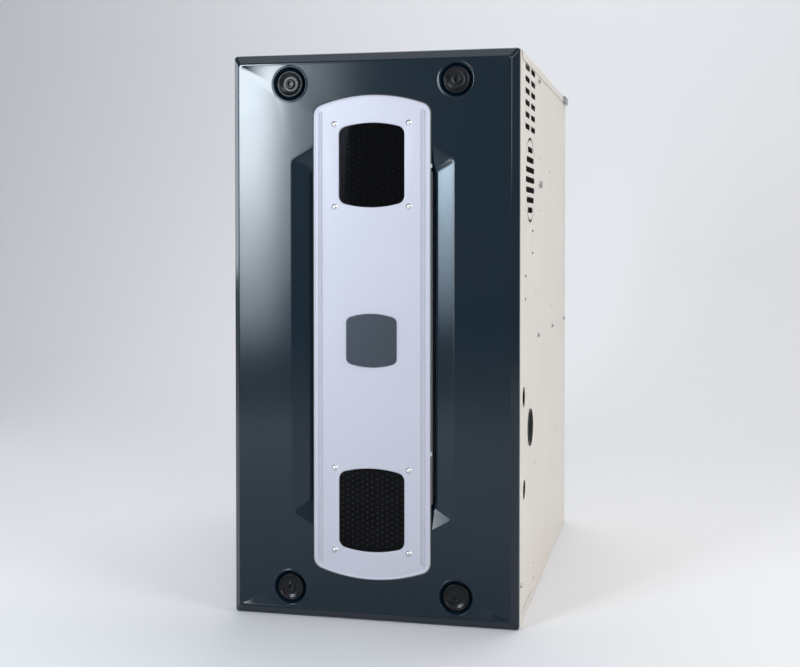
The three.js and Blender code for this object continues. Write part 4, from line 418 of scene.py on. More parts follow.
class Build:
    """A mesh being made, in millimetres."""

    def __init__(self):
        self.bm = bmesh.new()

    def ring(self, points):
        return [self.bm.verts.new(p) for p in points]

    def join(self, first, second):
        count = len(first)
        for i in range(count):
            k = (i + 1) % count
            corners = [first[i], first[k], second[k], second[i]]
            if len(set(corners)) == 4:
                self.bm.faces.new(corners)

    def joins(self, rings):
        rings = [self.ring(points) for points in rings]
        for first, second in zip(rings, rings[1:]):
            self.join(first, second)
        return rings

    def fill(self, *rings, creases=(), lift=None):
        """A face inside the first ring, with the other rings as its holes. It bends along the creases,
        and `lift` places the points where a crease meets a ring."""
        corners = [v for ring in [*rings, *creases] for v in ring]
        at = np.array([v.co for v in corners])
        u, v = sorted(np.argsort(np.ptp(at, axis=0))[1:])
        flat = at[:, [u, v]]
        edges, start = [], 0
        for ring in [*rings, *creases]:
            edges += [(start + i, start + (i + 1) % len(ring)) for i in range(len(ring))]
            start += len(ring)
        points, _, faces, origins, _, _ = delaunay_2d_cdt([Vector(p) for p in flat], edges, [], 1, 1e-6)
        middles = np.array([[sum(points[i][k] for i in face) / 3 for k in (0, 1)] for face in faces])
        inside = np.zeros(len(middles), dtype=bool)
        for i, j in edges[:sum(len(ring) for ring in rings)]:
            (x0, y0), (x1, y1) = flat[i], flat[j]
            if y0 != y1:
                crosses = (y0 > middles[:, 1]) != (y1 > middles[:, 1])
                inside ^= crosses & (middles[:, 0] < (x1 - x0) * (middles[:, 1] - y0) / (y1 - y0) + x0)
        made = {
            i: corners[origin[0]] if origin else self.bm.verts.new(lift(*points[i]))
            for i, origin in enumerate(origins)
        }
        for face, kept in zip(faces, inside):
            if kept:
                self.bm.faces.new([made[i] for i in face])

    def plate(self, place, outline, holes, front, back, ease):
        """A flat sheet with rounded edges. `place` takes (u, v, w) into space; `outline` and each hole
        give their points for an amount to grow."""
        step = ease if back > front else -ease
        bend = [(1, 0), (0.3, 0.3), (0, 1)]
        sides = [(-ease * grow, front + step * rise) for grow, rise in bend]
        sides += [(-ease * grow, back - step * rise) for grow, rise in reversed(bend)]
        loops = [[[place(u, v, w) for u, v in outline(grow)] for grow, w in sides]]
        loops += [[[place(u, v, w) for u, v in hole(-grow)] for grow, w in sides] for hole in holes]
        rings = [self.joins(loop) for loop in loops]
        self.fill(*[r[0] for r in rings])
        self.fill(*[r[-1] for r in rings])

    def turn(self, axis, centre, profile, steps):
        """A round form about an axis; a profile point is (radius, place)."""
        rings = []
        for radius, place in profile:
            points = []
            for i in range(steps):
                u, v = polar(radius, 2 * pi * i / steps, centre)
                points.append({"x": (place, u, v), "y": (u, place, v), "z": (u, v, place)}[axis])
            rings.append(self.ring(points[:1]) * steps if radius == 0 else self.ring(points))
        for first, second in zip(rings, rings[1:]):
            for i in range(steps):
                k = (i + 1) % steps
                corners = list(dict.fromkeys([first[i], first[k], second[k], second[i]]))
                if len(corners) > 2:
                    self.bm.faces.new(corners)

    def block(self, xs, ys, zs, ease):
        """A box with rounded edges."""
        middle = Vector([(a + b) / 2 for a, b in (xs, ys, zs)])
        size = [abs(b - a) for a, b in (xs, ys, zs)]
        matrix = Matrix.Translation(middle) @ Matrix.Diagonal((*size, 1))
        made = bmesh.ops.create_cube(self.bm, size=1, matrix=matrix)
        edges = list({e for v in made["verts"] for e in v.link_edges})
        offset = min(ease, min(size) * 0.4)
        bmesh.ops.bevel(self.bm, geom=edges, offset=offset, segments=2, affect="EDGES")

    def tube(self, points, radius, sides, ends=True):
        """A round bar along a line of points."""
        points = [Vector(p) for p in points]
        rings, across = [], None
        for i, here in enumerate(points):
            ahead = (points[min(i + 1, len(points) - 1)] - points[max(i - 1, 0)]).normalized()
            if across is None:
                across = ahead.orthogonal().normalized()
            across = (across - ahead * across.dot(ahead)).normalized()
            other = ahead.cross(across)
            ring = [here + across * u + other * v for u, v in circle(radius, steps=sides)]
            rings.append(self.ring(ring))
        for first, second in zip(rings, rings[1:]):
            self.join(first, second)
        if ends:
            self.bm.faces.new(list(reversed(rings[0])))
            self.bm.faces.new(rings[-1])

    def piece(self, name, material, body, slot, replaces=(), thickness=0.0, facing=None):
        """Ends the mesh as a piece that rides on a body. An open sheet is given its thickness inwards;
        `facing` is a place on its outer side and the way that it looks there."""
        bmesh.ops.remove_doubles(self.bm, verts=self.bm.verts, dist=1e-4)
        bmesh.ops.recalc_face_normals(self.bm, faces=self.bm.faces)
        if facing is not None:
            point, way = Vector(facing[0]), Vector(facing[1])
            nearest = min(self.bm.faces, key=lambda f: (f.calc_center_median() - point).length)
            if nearest.normal.dot(way) < 0:
                bmesh.ops.reverse_faces(self.bm, faces=self.bm.faces)
        bmesh.ops.scale(self.bm, vec=(MM, MM, MM), verts=self.bm.verts)
        data = bpy.data.meshes.new(name)
        self.bm.to_mesh(data)
        self.bm.free()
        made = bpy.data.objects.new(name, data)
        bpy.context.scene.collection.objects.link(made)
        if thickness:
            solid = made.modifiers.new("thickness", "SOLIDIFY")
            solid.thickness = thickness * MM
            solid.offset = -1
        finished(made, material)
        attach(made, body)
        if replaces:
            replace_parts(made, *replaces)


def finished(made, material):
    made.data.materials.clear()
    made.data.materials.append(material)
    made.data.polygons.foreach_set("use_smooth", [True] * len(made.data.polygons))
    made.data.set_sharp_from_angle(angle=radians(SHARP_ANGLE))
    weighted = made.modifiers.new("weighted_normals", "WEIGHTED_NORMAL")
    weighted.keep_sharp = True
    weighted.weight = 80


def softened(node):
    """A copy of a plain node with its flat faces joined up and its edges rounded, which stands for it."""
    source = frame["nodes"][node]
    bm = bmesh.new()
    bm.from_mesh(source.data)
    bmesh.ops.remove_doubles(bm, verts=bm.verts, dist=1e-6)
    bmesh.ops.dissolve_limit(bm, angle_limit=radians(1), verts=bm.verts, edges=bm.edges)
    bmesh.ops.recalc_face_normals(bm, faces=bm.faces)
    data = bpy.data.meshes.new(node + "_finished")
    bm.to_mesh(data)
    bm.free()
    made = bpy.data.objects.new(node + "_finished", data)
    bpy.context.scene.collection.objects.link(made)
    slot = source.material_slots[0].name
    bevel = made.modifiers.new("rounded_edges", "BEVEL")
    bevel.width = SOFT_EDGE * MM
    bevel.segments = 2
    bevel.limit_method = "ANGLE"
    bevel.angle_limit = radians(40)
    bevel.use_clamp_overlap = True
    finished(made, SLOT_FINISHES[slot])
    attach(made, source["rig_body"])
    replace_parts(made, node)


def front(u, v, w):
    """Onto the front: u is X, v is Z and w is Y."""
    return (u, w, v)


# ---- Door ----

def hexagon(inset):
    """The pocket's outline, moved inwards."""
    half = POCKET_HALF_WIDTH - inset
    apex = POCKET_APEX - inset * hypot(1, POCKET_RISE)
    shoulder = apex - POCKET_RISE * half
    upper = [(half, shoulder), (0, apex), (-half, shoulder)]
    corners = [(x, z + MIDDLE_Z) for x, z in upper + [(-x, -z) for x, z in upper]]
    return rounded(corners, 7 + 0.05 * inset, 5)


def window_outline(grow, offset):
    return barrel(50.6 + grow, 63.3 + grow, 8, 12, MIDDLE_Z + offset)


LATCHES = {
    f"{end}_{side}": (sx * LATCH_X, MIDDLE_Z + sz * LATCH_Z)
    for end, sz in (("top", 1), ("bottom", -1))
    for side, sx in (("right", 1), ("left", -1))
}


def door():
    b = Build()
    line = [(13, 17, DOOR_FACE_Y), (11, 14, DOOR_FACE_Y), (0, 0, EDGE_Y), (0, 0, LIP_BACK_Y)]
    line = eased(line + [(14, 14, LIP_BACK_Y)], 3.0, 5)
    rims = [round_rect(HALF_WIDTH - dx, MIDDLE_Z - dz, 4.5, (0, MIDDLE_Z)) for dx, dz, _ in line]
    edge = b.joins([[front(u, v, y) for u, v in rim] for rim, (_, _, y) in zip(rims, line)])
    slope = eased([(-4, 0), (0, 0), (28.5, 6.3), (31.5, POCKET_DEPTH), (36, POCKET_DEPTH)], 3.5, 5)

    def pressed(u, v):
        """A point of the face, as deep as the pocket is there."""
        to_end = (POCKET_APEX - abs(v - MIDDLE_Z) - POCKET_RISE * abs(u)) / hypot(1, POCKET_RISE)
        inset = min(POCKET_HALF_WIDTH - abs(u), to_end)
        return front(u, v, DOOR_FACE_Y + float(np.interp(inset, *zip(*slope))))

    pocket = [b.ring([front(u, v, DOOR_FACE_Y + depth) for u, v in hexagon(inset)]) for inset, depth in slope]
    profile = [(29, 0), (27.4, -0.5), (25.6, -0.5), (24.6, 1.6), (21.2, CUP_DEPTH), (4.8, CUP_DEPTH)]
    profile = eased(profile, 1.3, 4)
    cups = []
    for centre in LATCHES.values():
        rings = [[front(u, v, DOOR_FACE_Y + depth) for u, v in circle(r, centre, 56)] for r, depth in profile]
        cups.append(b.joins(rings)[0])
    sights = [b.ring([pressed(u, v) for u, v in window_outline(10, offset)]) for offset in WINDOW_OFFSETS]
    b.fill(edge[0], *cups, *sights, creases=pocket, lift=pressed)
    facing = ((180, DOOR_FACE_Y, 400), (0, -1, 0))
    b.piece("door_skin", DOOR, "door", "door_paint", ["door_panel"], SHEET, facing)


def strip():
    b = Build()
    outline = lambda grow: barrel(STRIP_HALF_WIDTH + grow, 365.6 + grow, 18, 17, MIDDLE_Z, 8, 40)
    edge = [(0, STRIP_BACK_Y), (0, STRIP_FACE_Y + 1.5), (-0.5, STRIP_FACE_Y + 0.45), (-1.6, STRIP_FACE_Y)]
    edge += [(-2.6, STRIP_FACE_Y), (-3.1, STRIP_FACE_Y + 0.35), (-3.6, STRIP_FACE_Y + 0.35)]
    border = b.joins([[front(u, v, w) for u, v in outline(grow)] for grow, w in edge])
    hem = [(0, STRIP_BACK_Y), (0, STRIP_FACE_Y + 1.5), (0.45, STRIP_FACE_Y + 0.75)]
    hem.append((1.5, STRIP_FACE_Y + 0.35))
    sights = [
        b.joins([[front(u, v, w) for u, v in window_outline(grow, offset)] for grow, w in hem])
        for offset in WINDOW_OFFSETS
    ]
    rib = [(4.0, 0.35), (3.3, 1.15), (2.1, 1.15), (1.5, 0.1), (0.8, -0.7), (0.25, -0.9)]
    ribs = []
    for side in (1, -1):
        levels = []
        for half, rise in rib:
            ring = round_rect(half, 339 + half, half * 0.98, (side * RIB_X, MIDDLE_Z), 5)
            levels.append([front(u, v, STRIP_FACE_Y + rise) for u, v in ring])
        made = b.joins(levels)
        b.fill(made[-1])
        ribs.append(made[0])
    b.fill(border[-1], *[sight[-1] for sight in sights], *ribs)
    b.fill(border[0], *[sight[0] for sight in sights])
    b.piece("accent_strip_face", SILVER, "door", "silver", ["accent_strip"])

    # A black rubber band along the strip's edge, put there as painted shade: it stands in for the dark shadow
    # line round the strip.
    b = Build()
    shadow_seal = [(-3, 0), (1.1, 0), (1.5, -0.4), (1.5, -0.9), (1.1, -1.2), (-0.3, -1.2), (-0.3, -0.2), (-3, -0.2)]
    shadow_seal.append(shadow_seal[0])
    b.joins([[front(u, v, STRIP_BACK_Y + w) for u, v in outline(grow)] for grow, w in shadow_seal])
    b.piece("accent_strip_painted_shadow_seal", RUBBER, "door", "rubber")

    b = Build()
    half = 250.3
    for side in (1, -1):
        across = sorted((side * (STRIP_HALF_WIDTH - 1.4), side * STRIP_HALF_WIDTH))
        b.block(across, (STRIP_BACK_Y - 0.2, FLOOR_Y - SEAT), (MIDDLE_Z - half, MIDDLE_Z + half), 0.4)
    for z in (690, 260):
        b.block((89.5, 93), (STRIP_FACE_Y + 0.4, STRIP_BACK_Y + 0.2), (z - 3, z + 3), 0.8)
    b.piece("accent_strip_skirts", SILVER, "door", "silver")


def windows():
    for name, offset in (("upper", WINDOW_OFFSET), ("lower", -WINDOW_OFFSET)):
        b = Build()
        pane = lambda grow: window_outline(grow - SEAT, offset)
        b.plate(front, pane, [], STRIP_FACE_Y + 0.9, STRIP_BACK_Y + 1.4, 0.6)
        b.piece(f"{name}_pane", GLASS, "door", "dark_glass", [f"{name}_window"])


def screens():
    """A punched black screen behind each pane, and a pale plate behind the lower one, whose white is painted
    light that shows through the holes as light dots. Behind the upper pane there are rivet heads, white as
    painted glints, and a wire too."""
    column_pitch, row_pitch = 7.7, 8.5
    for name, offset, face, hole in (
        ("upper", WINDOW_OFFSET, STRIP_BACK_Y + 10.1, 1.55),
        ("lower", -WINDOW_OFFSET, STRIP_BACK_Y + 3, 1.3),
    ):
        b = Build()
        middle = MIDDLE_Z + offset
        holes = []
        for column in range(-6, 7):
            for row in range(-7, 8):
                u = column * column_pitch
                v = middle + row * row_pitch + (row_pitch / 2 if column % 2 else 0)
                if abs(u) < 47 and abs(v - middle) < 58:
                    holes.append(lambda grow, u=u, v=v, r=hole: circle(r + grow, (u, v), 8))
        b.plate(front, lambda grow: window_outline(5 + grow, offset), holes, face, face + 0.8, 0.15)
        b.piece(f"{name}_screen", BLACK_STEEL, "door", "black_steel")

    # A pale plate behind the lower screen: its white is painted light, so that the holes show as light dots.
    b = Build()
    back = STRIP_BACK_Y + 4.2
    b.plate(front, lambda grow: window_outline(5 + grow, -WINDOW_OFFSET), [], back, back + 0.6, 0.2)
    b.piece("lower_screen_painted_light_plate", WHITE_PLASTIC, "door", "white_plastic")

    # Rivet heads in white plastic: their white is a painted glint, so that they show through the dark pane.
    b = Build()
    face = STRIP_BACK_Y + 10.1
    for x, z, radius in ((6, 778, 4.2), (-31, 783, 1.6), (37, 790, 1.7), (39, 769, 1.5), (-36, 762, 1.2)):
        head = [(0, face - radius), (radius * 0.7, face - radius * 0.8), (radius, face - 0.2), (0, face)]
        b.turn("y", (x, z), head, 14)
    b.piece("upper_sight_rivets_painted_glints", WHITE_PLASTIC, "door", "white_plastic")

    b = Build()
    route = [(-30, 2.4, 752), (-31, 2.6, 728), (-24, 3, 708), (-10, 3, 700), (4, 2.4, 708)]
    b.tube(eased([(x, face - ahead, z) for x, ahead, z in route], 12, 6), 0.9, 8)
    b.piece("upper_sight_wire", BLACK_PLASTIC, "door", "black_plastic")


def badge():
    b = Build()
    outline = lambda grow: barrel(38.9 + grow, 40.4 + grow, 7, 9, MIDDLE_Z - 3.5)
    b.plate(front, outline, [], STRIP_FACE_Y - SEAT - 1.5, STRIP_FACE_Y - SEAT, 0.6)
    b.piece("badge", BADGE, "door", "badge_grey", ["badge_plate"])


def latches():
    """A dished head on a stem, with a crossbar at the stem's end."""
    rim = DOOR_FACE_Y + 0.9
    dish = DOOR_FACE_Y + 4.4
    boss = DOOR_FACE_Y + 1.7
    under = DOOR_FACE_Y + CUP_DEPTH - SEAT
    bar = (CASE_FRONT_Y + 3.2, CASE_FRONT_Y + 7.2)
    profile = [(0, boss + 4), (3.6, boss + 4), (3.9, boss + 0.2), (5.2, boss), (7, boss + 0.3), (7.4, dish)]
    profile += [(11.5, dish), (16.4, rim + 1.6), (17.6, rim), (19.4, rim), (20, rim + 0.8), (20, under)]
    profile += [(4, under), (4, bar[1]), (0, bar[1])]
    for name, (x, z) in LATCHES.items():
        b = Build()
        b.turn("y", (x, z), eased(profile, 0.6, 3), 64)
        b.block((x - 11, x + 11), bar, (z - 3, z + 3), 0.6)
        body = f"latch_{name}"
        b.piece(f"{body}_head", BLACK_PLASTIC, body, "black_plastic", [f"door_{body}"])


def window_screws():
    b = Build()
    top = STRIP_FACE_Y + 0.35
    dome = [(0, top - 1.75), (1.6, top - 1.68), (3.0, top - 1.25), (4.1, top - 0.5), (4.5, top)]
    dome.append((0, top + 0.2))
    for offset in WINDOW_OFFSETS:
        for x in (57.5, -57.5):
            for z in (62.5, -62.5):
                b.turn("y", (x, MIDDLE_Z + offset + z), dome, 24)
    b.piece("window_screws", BRIGHT_STEEL, "door", "silver")


# ---- Cabinet sides ----

def sideways(side):
    """Onto a side: u is Y, v is Z and w is how far out it lies."""
    return lambda u, v, w: (side * w, u, v)


def stadium(y, z, length, height):
    return lambda grow: round_rect(length / 2 + grow, height / 2 + grow, height / 2 + grow, (y, z), 6)


def cut_arc(centre, radius, width, middle, span, steps):
    """A narrow cut along an arc."""
    def outline(grow):
        half = width / 2 + grow
        reach = span / 2 + grow / radius
        far = arc(radius + half, middle - reach, middle + reach, steps, centre)
        return far + arc(radius - half, middle + reach, middle - reach, steps, centre)
    return outline


def vent_slot(rise):
    y, z = ROUND_VENT
    half = sqrt(57**2 - rise**2)
    return stadium(y, z + rise, 2 * half, 9)


def side_cuts(side):
    """Air slots, the round vent with its lanced arcs, knock-outs, and the right side's three holes."""
    cuts = [stadium(y, 847 - row * 18.3, 58, 9) for y in (-252, -181) for row in range(6)]
    cuts += [vent_slot((i - 3) * 15.8) for i in range(7)]
    for middle in (pi / 2, -pi / 2):
        cuts.append(cut_arc(ROUND_VENT, 65, 4.2, middle, 1.9, 24))
    for middle in (0, pi):
        cuts.append(cut_arc(ROUND_VENT, 65, 1.2, middle, 1.05, 14))
    for centre in ((-185, 576), (-271.6, 506)):
        for middle in (pi / 2, -pi / 2):
            cuts.append(cut_arc(centre, 18.5, 3.4, middle, 1.1, 10))
        for middle in (0, pi):
            cuts.append(cut_arc(centre, 18.5, 1.3, middle, 1.6, 12))
    if side > 0:
        holes = [((-292, 339), 16), (PIPE_HOLE, 27.5), ((-286, 196), 15.5)]
        cuts += [lambda grow, c=c, r=r: circle(r + grow, c, 40) for c, r in holes]
    return cuts


def side_panels():
    y0, y1 = CASE_FRONT_Y, SIDE_REAR_Y
    centre = ((y0 + y1) / 2, WALL_TOP_Z / 2)
    wall = lambda grow: round_rect((y1 - y0) / 2 + grow, WALL_TOP_Z / 2 + grow, 0.5, centre, 2)
    for name, side in (("right", 1), ("left", -1)):
        b = Build()
        b.plate(sideways(side), wall, side_cuts(side), SIDE_OUT, SIDE_IN, 0.35)
        inner = side * (SIDE_IN + 0.1)
        b.block(sorted((side * (SIDE_IN - 22), inner)), (y0, y0 + SHEET), (25.3, WALL_TOP_Z - 0.1), 0.35)
        b.block(sorted((side * (SIDE_IN - 15), inner)), (y1 - SHEET, y1), (0.1, WALL_TOP_Z - 0.1), 0.35)
        b.piece(f"side_sheet_{name}", CREAM, "cabinet", "cream_paint", [f"side_panel_{name}"])


def side_fasteners():
    """Hexagon washer-head screws, a stud, rivets and clinch marks in the side sheets. A profile's places
    are how far they stand off the sheet."""
    washer = [(0, 1.0), (4.2, 0.75), (4.4, 0)]
    head = [(0, 3.5), (2.7, 3.3), (3.2, 0.8)]
    stud = [(0, 1), (3.2, 1), (3.4, 4.6), (5.2, 4.6), (5.8, 3.8), (5.8, 0)]
    rivet = [(0, 0.75), (1.3, 0.6), (2.1, 0)]
    clinch = [(1.0, 0), (1.3, 0.5), (1.9, 0.45), (2.2, 0)]
    low_rivet = [(0, 0.7), (1.6, 0.55), (2.2, 0)]
    screws = ((-110.7, 420), (110.4, 420), (331.4, 420), (-104, 843), (-330, 60))
    rivets = ((-143, 495), (96.6, 459), (-152, 214), (-150, 857), (-88, 716), (-88, 628))
    rivets += ((200, 214), (60, 700))
    for name, side in (("right", 1), ("left", -1)):
        b = Build()

        def fasten(centre, profile, steps):
            line = [(radius, side * (SIDE_OUT + 0.02 + height)) for radius, height in profile]
            b.turn("x", centre, line, steps)

        for centre in screws:
            fasten(centre, washer, 20)
            fasten(centre, head, 6)
        fasten((-89.6, 672), stud, 24)
        for centre in rivets:
            fasten(centre, rivet, 14)
        for i in range(9):
            fasten((-310 + i * 13.5, 15), clinch, 12)
        for z in (53, 28.7):
            fasten((-169, z), low_rivet, 14)
        b.piece(f"side_fasteners_{name}", GALVANISED, "cabinet", "galvanised")


# ---- Inside: burners, heat exchanger, inducer and blower ----

BLOWER = (108, 226)
INDUCER = (-113.4, 534)
VENT = (-184, -186.6)
BURNER_XS = (-88, 0, 88)
BURNER_Z = 766


def scroll(inner, outer, cutoff, mouth, side, centre):
    """A fan housing's open outline, from its mouth round to the cut-off and up again."""
    def outline(grow):
        steps = 72
        turn = 2 * pi - cutoff
        radii = [outer + (inner - outer) * i / steps + grow for i in range(steps + 1)]
        winding = [polar(radius, -turn * i / steps) for i, radius in enumerate(radii)]
        throat = inner * cos(cutoff) - grow
        line = [(outer + grow, mouth), *winding, (throat, winding[-1][1] + 0.01), (throat, mouth)]
        return [(centre[0] + side * u, centre[1] + v) for u, v in line]
    return outline


def wrapped(b, place, outline, low, high, grow=0.0, wall=1.4):
    """A strip of sheet bent round an open outline."""
    outer, inner = outline(grow), outline(grow - wall)
    corners = ((outer, low), (outer, high), (inner, high), (inner, low))
    lines = [b.ring([place(u, v, w) for u, v in line]) for line, w in corners]
    for first, second in zip(lines, lines[1:] + lines[:1]):
        for i in range(len(first) - 1):
            b.bm.faces.new([first[i], first[i + 1], second[i + 1], second[i]])
    for end in (0, -1):
        b.bm.faces.new([line[end] for line in lines])


def blower():
    """The scroll with its inlet rings, the wheel's vanes, and the motor in the wheel."""
    b = Build()
    lay = lambda u, v, w: (w, u, v)
    half, sheet = 114, 1.4
    outline = scroll(138, 188, 1.3, 200.5, 1, BLOWER)
    inlet = lambda grow: circle(112 + grow, BLOWER, 72)
    wrapped(b, lay, outline, 1.6 - half, half - 1.6)
    for side in (1, -1):
        b.plate(lay, outline, [inlet], side * half, side * (half - sheet), 0.4)
        lip = [(118, 114.2), (113, 114.2), (107, 111.5), (105, 107), (104.6, 103), (103.4, 103)]
        lip += [(104, 107.4), (106.2, 112.4), (112, 115.2), (118, 114.8), (118, 114.2)]
        b.turn("x", BLOWER, [(radius, side * x) for radius, x in lip], 72)
        for i in range(10):
            y, z = polar(122 + (i % 2) * 8, 0.3 + i * 0.63, BLOWER)
            b.turn("x", (y, z), [(0, side * 115.6), (2.6, side * 115.2), (3.2, side * half)], 6)
    b.piece("blower_housing_shell", GALVANISED, "cabinet", "galvanised", ["blower_housing"])

    b = Build()
    for side in (1, -1):
        rim = [(106, 97), (127, 97), (127, 100), (125.6, 100), (125.6, 98.4), (106, 98.4), (106, 97)]
        b.turn("x", BLOWER, [(radius, side * x) for radius, x in rim], 80)
    hub = [(8.3, -48), (15, -48), (15, -25), (24, -22), (60, -22), (66, -25), (100, -25), (104, -22)]
    hub += [(126, -22), (126, -20.8), (104, -20.8), (100, -23.8), (66, -23.8), (60, -20.8), (8.3, -20.8)]
    b.turn("x", BLOWER, hub + hub[:1], 80)
    vanes, root, depth, lean, thickness = 42, 106.5, 20, 0.15, 0.008
    for i in range(vanes):
        start = 2 * pi * i / vanes
        across = (0, 0.25, 0.5, 0.75, 1)
        vane = [polar(root + depth * t, start + lean * t * t, BLOWER) for t in across]
        vane += [polar(root + depth * t, start + lean * t * t + thickness, BLOWER) for t in across[::-1]]
        ends = [b.ring([(x, u, v) for u, v in vane]) for x in (-98, 98)]
        b.join(*ends)
        for end in ends:
            b.bm.faces.new(end)
    b.piece("blower_wheel_vanes", GALVANISED, "blower_wheel", "galvanised", ["blower_wheel"])

    b = Build()
    motor = [(0, -48), (7.4, -48), (8, -47.2), (8, 6), (30, 6), (34, 9), (58, 9), (66, 14), (69, 22)]
    motor += [(69, 34), (67.6, 35), (67.6, 37), (69, 38), (69, 98), (67.6, 99), (67.6, 101), (69, 102)]
    motor += [(69, 116), (66, 124), (58, 129), (34, 129), (30, 132), (12, 132), (10, 129), (0, 129)]
    b.turn("x", BLOWER, eased(motor, 1.5, 3), 64)
    b.piece("blower_motor_case", BLACK_STEEL, "cabinet", "black_steel", ["blower_motor"])

    b = Build()
    for i in range(12):
        inner, outer = (3.2, 4) if i % 3 == 0 else (1.6, 2)
        b.turn("x", polar(46, 2 * pi * i / 12, BLOWER), [(0, 130.6), (inner, 130.4), (outer, 128.8)], 6)
    y, z = BLOWER
    b.block((60, 96), (y - 20, y + 20), (z + 68.2, z + 71), 0.5)
    b.piece("blower_motor_bolts", GALVANISED, "cabinet", "galvanised")


def inducer():
    """A moulded scroll with a flange round its joint, its screws, and the ribbed motor on its face."""
    b = Build()
    face, back, wall = -211.6, -161.6, 3
    outline = scroll(62, 98, 0.8, 106, -1, INDUCER)
    wrapped(b, front, outline, face + 0.6, back - 0.4, 0.0, wall)
    wrapped(b, front, outline, -189, -184.5, 4.5, 6)
    b.plate(front, outline, [lambda grow: circle(5 + grow, INDUCER, 24)], face, face + wall, 0.8)
    b.plate(front, outline, [lambda grow: circle(32 + grow, INDUCER, 48)], back, back - wall, 0.8)
    for radius in (50, 58):
        rib = [(radius, face + 0.1), (radius + 0.8, face - 1), (radius + 1.8, face - 1)]
        rib.append((radius + 2.6, face + 0.1))
        b.turn("y", INDUCER, rib, 64)
    b.piece("inducer_housing_shell", BLACK_PLASTIC, "cabinet", "black_plastic", ["inducer_housing"])

    b = Build()
    for i, angle in enumerate((0.5, 1.6, 2.6, 3.6, 4.6, 5.6)):
        centre = polar(92 - 5.5 * (angle < 1) - 4 * i, pi - angle, INDUCER)
        b.turn("y", centre, [(0, -214.6), (2.8, -214.4), (3.2, -213)], 6)
        b.turn("y", centre, [(4.8, -213), (5, -212.6), (5, -211.4)], 20)
        b.turn("y", centre, [(0, -213), (4.8, -213)], 20)
    for i in range(4):
        centre = polar(31, pi / 4 + pi / 2 * i, INDUCER)
        b.turn("y", centre, [(0, -273.4), (2.9, -273.2), (3.3, -269)], 6)
    b.piece("inducer_screws", BRIGHT_STEEL, "cabinet", "silver")

    b = Build()
    motor = [(0, -273.9), (8, -273.9), (9, -270.4), (24, -270.4), (27, -268.4), (34, -268.4), (39.5, -262)]
    motor += [(41, -256), (41, -250), (39, -249.4), (39, -246.6), (41, -246), (41, -240), (39, -239.4)]
    motor += [(39, -236.6), (41, -236), (41, -222), (38, -220), (38, -211.9), (4, -211.9), (4, -177.6)]
    b.turn("y", INDUCER, eased(motor + [(0, -177.6)], 1.2, 3), 64)
    b.piece("inducer_motor_case", GALVANISED, "cabinet", "galvanised", ["inducer_motor"])


def heat_exchanger():
    """Three tubes that run back and forth, each with a burner in front of its mouth."""
    radius = 16
    for i, x in enumerate(BURNER_XS, 1):
        b = Build()
        route = [(-112, BURNER_Z), (302, BURNER_Z), (302, 698), (-60, 698), (-60, 630), (322.5, 630)]
        b.tube(eased([(x, y, z) for y, z in route], 33, 10), radius, 24, False)
        facing = ((x, 100, BURNER_Z + radius), (0, 0, 1))
        node = f"heat_exchanger_cell_{i}"
        b.piece(f"cell_{i}_tube", ALUMINISED, "cabinet", "aluminised", [node], SHEET, facing)
        b = Build()
        line = eased([(17, -225), (11, -213), (11, -145), (17, -133), (17, -121)], 5, 5)
        line += [(radius - 1.4, y) for radius, y in reversed(line)]
        b.turn("y", (x, BURNER_Z), line + line[:1], 40)
        b.piece(f"burner_{i}_tube", ALUMINISED, "cabinet", "aluminised", [f"burner_{i}"])


FITTINGS = {
    "vent_coupling": ("z", VENT, RUBBER, "rubber", [
        (30.3, 821.6), (34.5, 821.6), (34.5, 863.9), (40.5, 863.9), (40.5, 866.9), (35.5, 867.4),
        (34.5, 873.6), (30.3, 873.6),
    ]),
    "vent_pipe": ("z", VENT, WHITE_PLASTIC, "white_plastic", [
        (26, 644.6), (30, 644.6), (30, 842.6), (26, 842.6),
    ]),
    "pipe_grommet": ("x", PIPE_HOLE, RUBBER, "rubber", [
        (24.7, 217.75), (29.5, 217.75), (29.5, 219.25), (27.2, 219.25), (27.2, 221.05), (29.5, 221.05),
        (29.5, 222.55), (24.7, 222.55),
    ]),
    "pressure_switch": ("y", (96, 678), BLACK_PLASTIC, "black_plastic", [
        (0.01, -135.3), (6, -135.3), (7, -133), (22, -132), (27, -127), (27, -125.3), (33, -125.3),
        (33, -120), (31.6, -119), (33, -118), (33, -109.3), (0.01, -109.3),
    ]),
    "limit_switch": ("y", (0, 640), GALVANISED, "galvanised", [
        (0.01, -121.3), (8, -121.3), (9, -115), (13, -114), (13, -109.3), (0.01, -109.3),
    ]),
    "rollout_switch": ("z", (100, -181.3), BLACK_PLASTIC, "black_plastic", [
        (3.3, 815), (3.3, 823.3), (8, 823.3), (9, 817), (11, 816), (11, 812.3), (0.01, 812.3), (0.01, 815),
    ]),
}


def fittings():
    """Round parts that stand for their nodes."""
    for node, (axis, centre, material, slot, profile) in FITTINGS.items():
        b = Build()
        closed = eased(profile + profile[:1], 0.7, 3)
        b.turn(axis, centre, closed, 56)
        b.piece(f"{node}_turned", material, "cabinet", slot, [node])


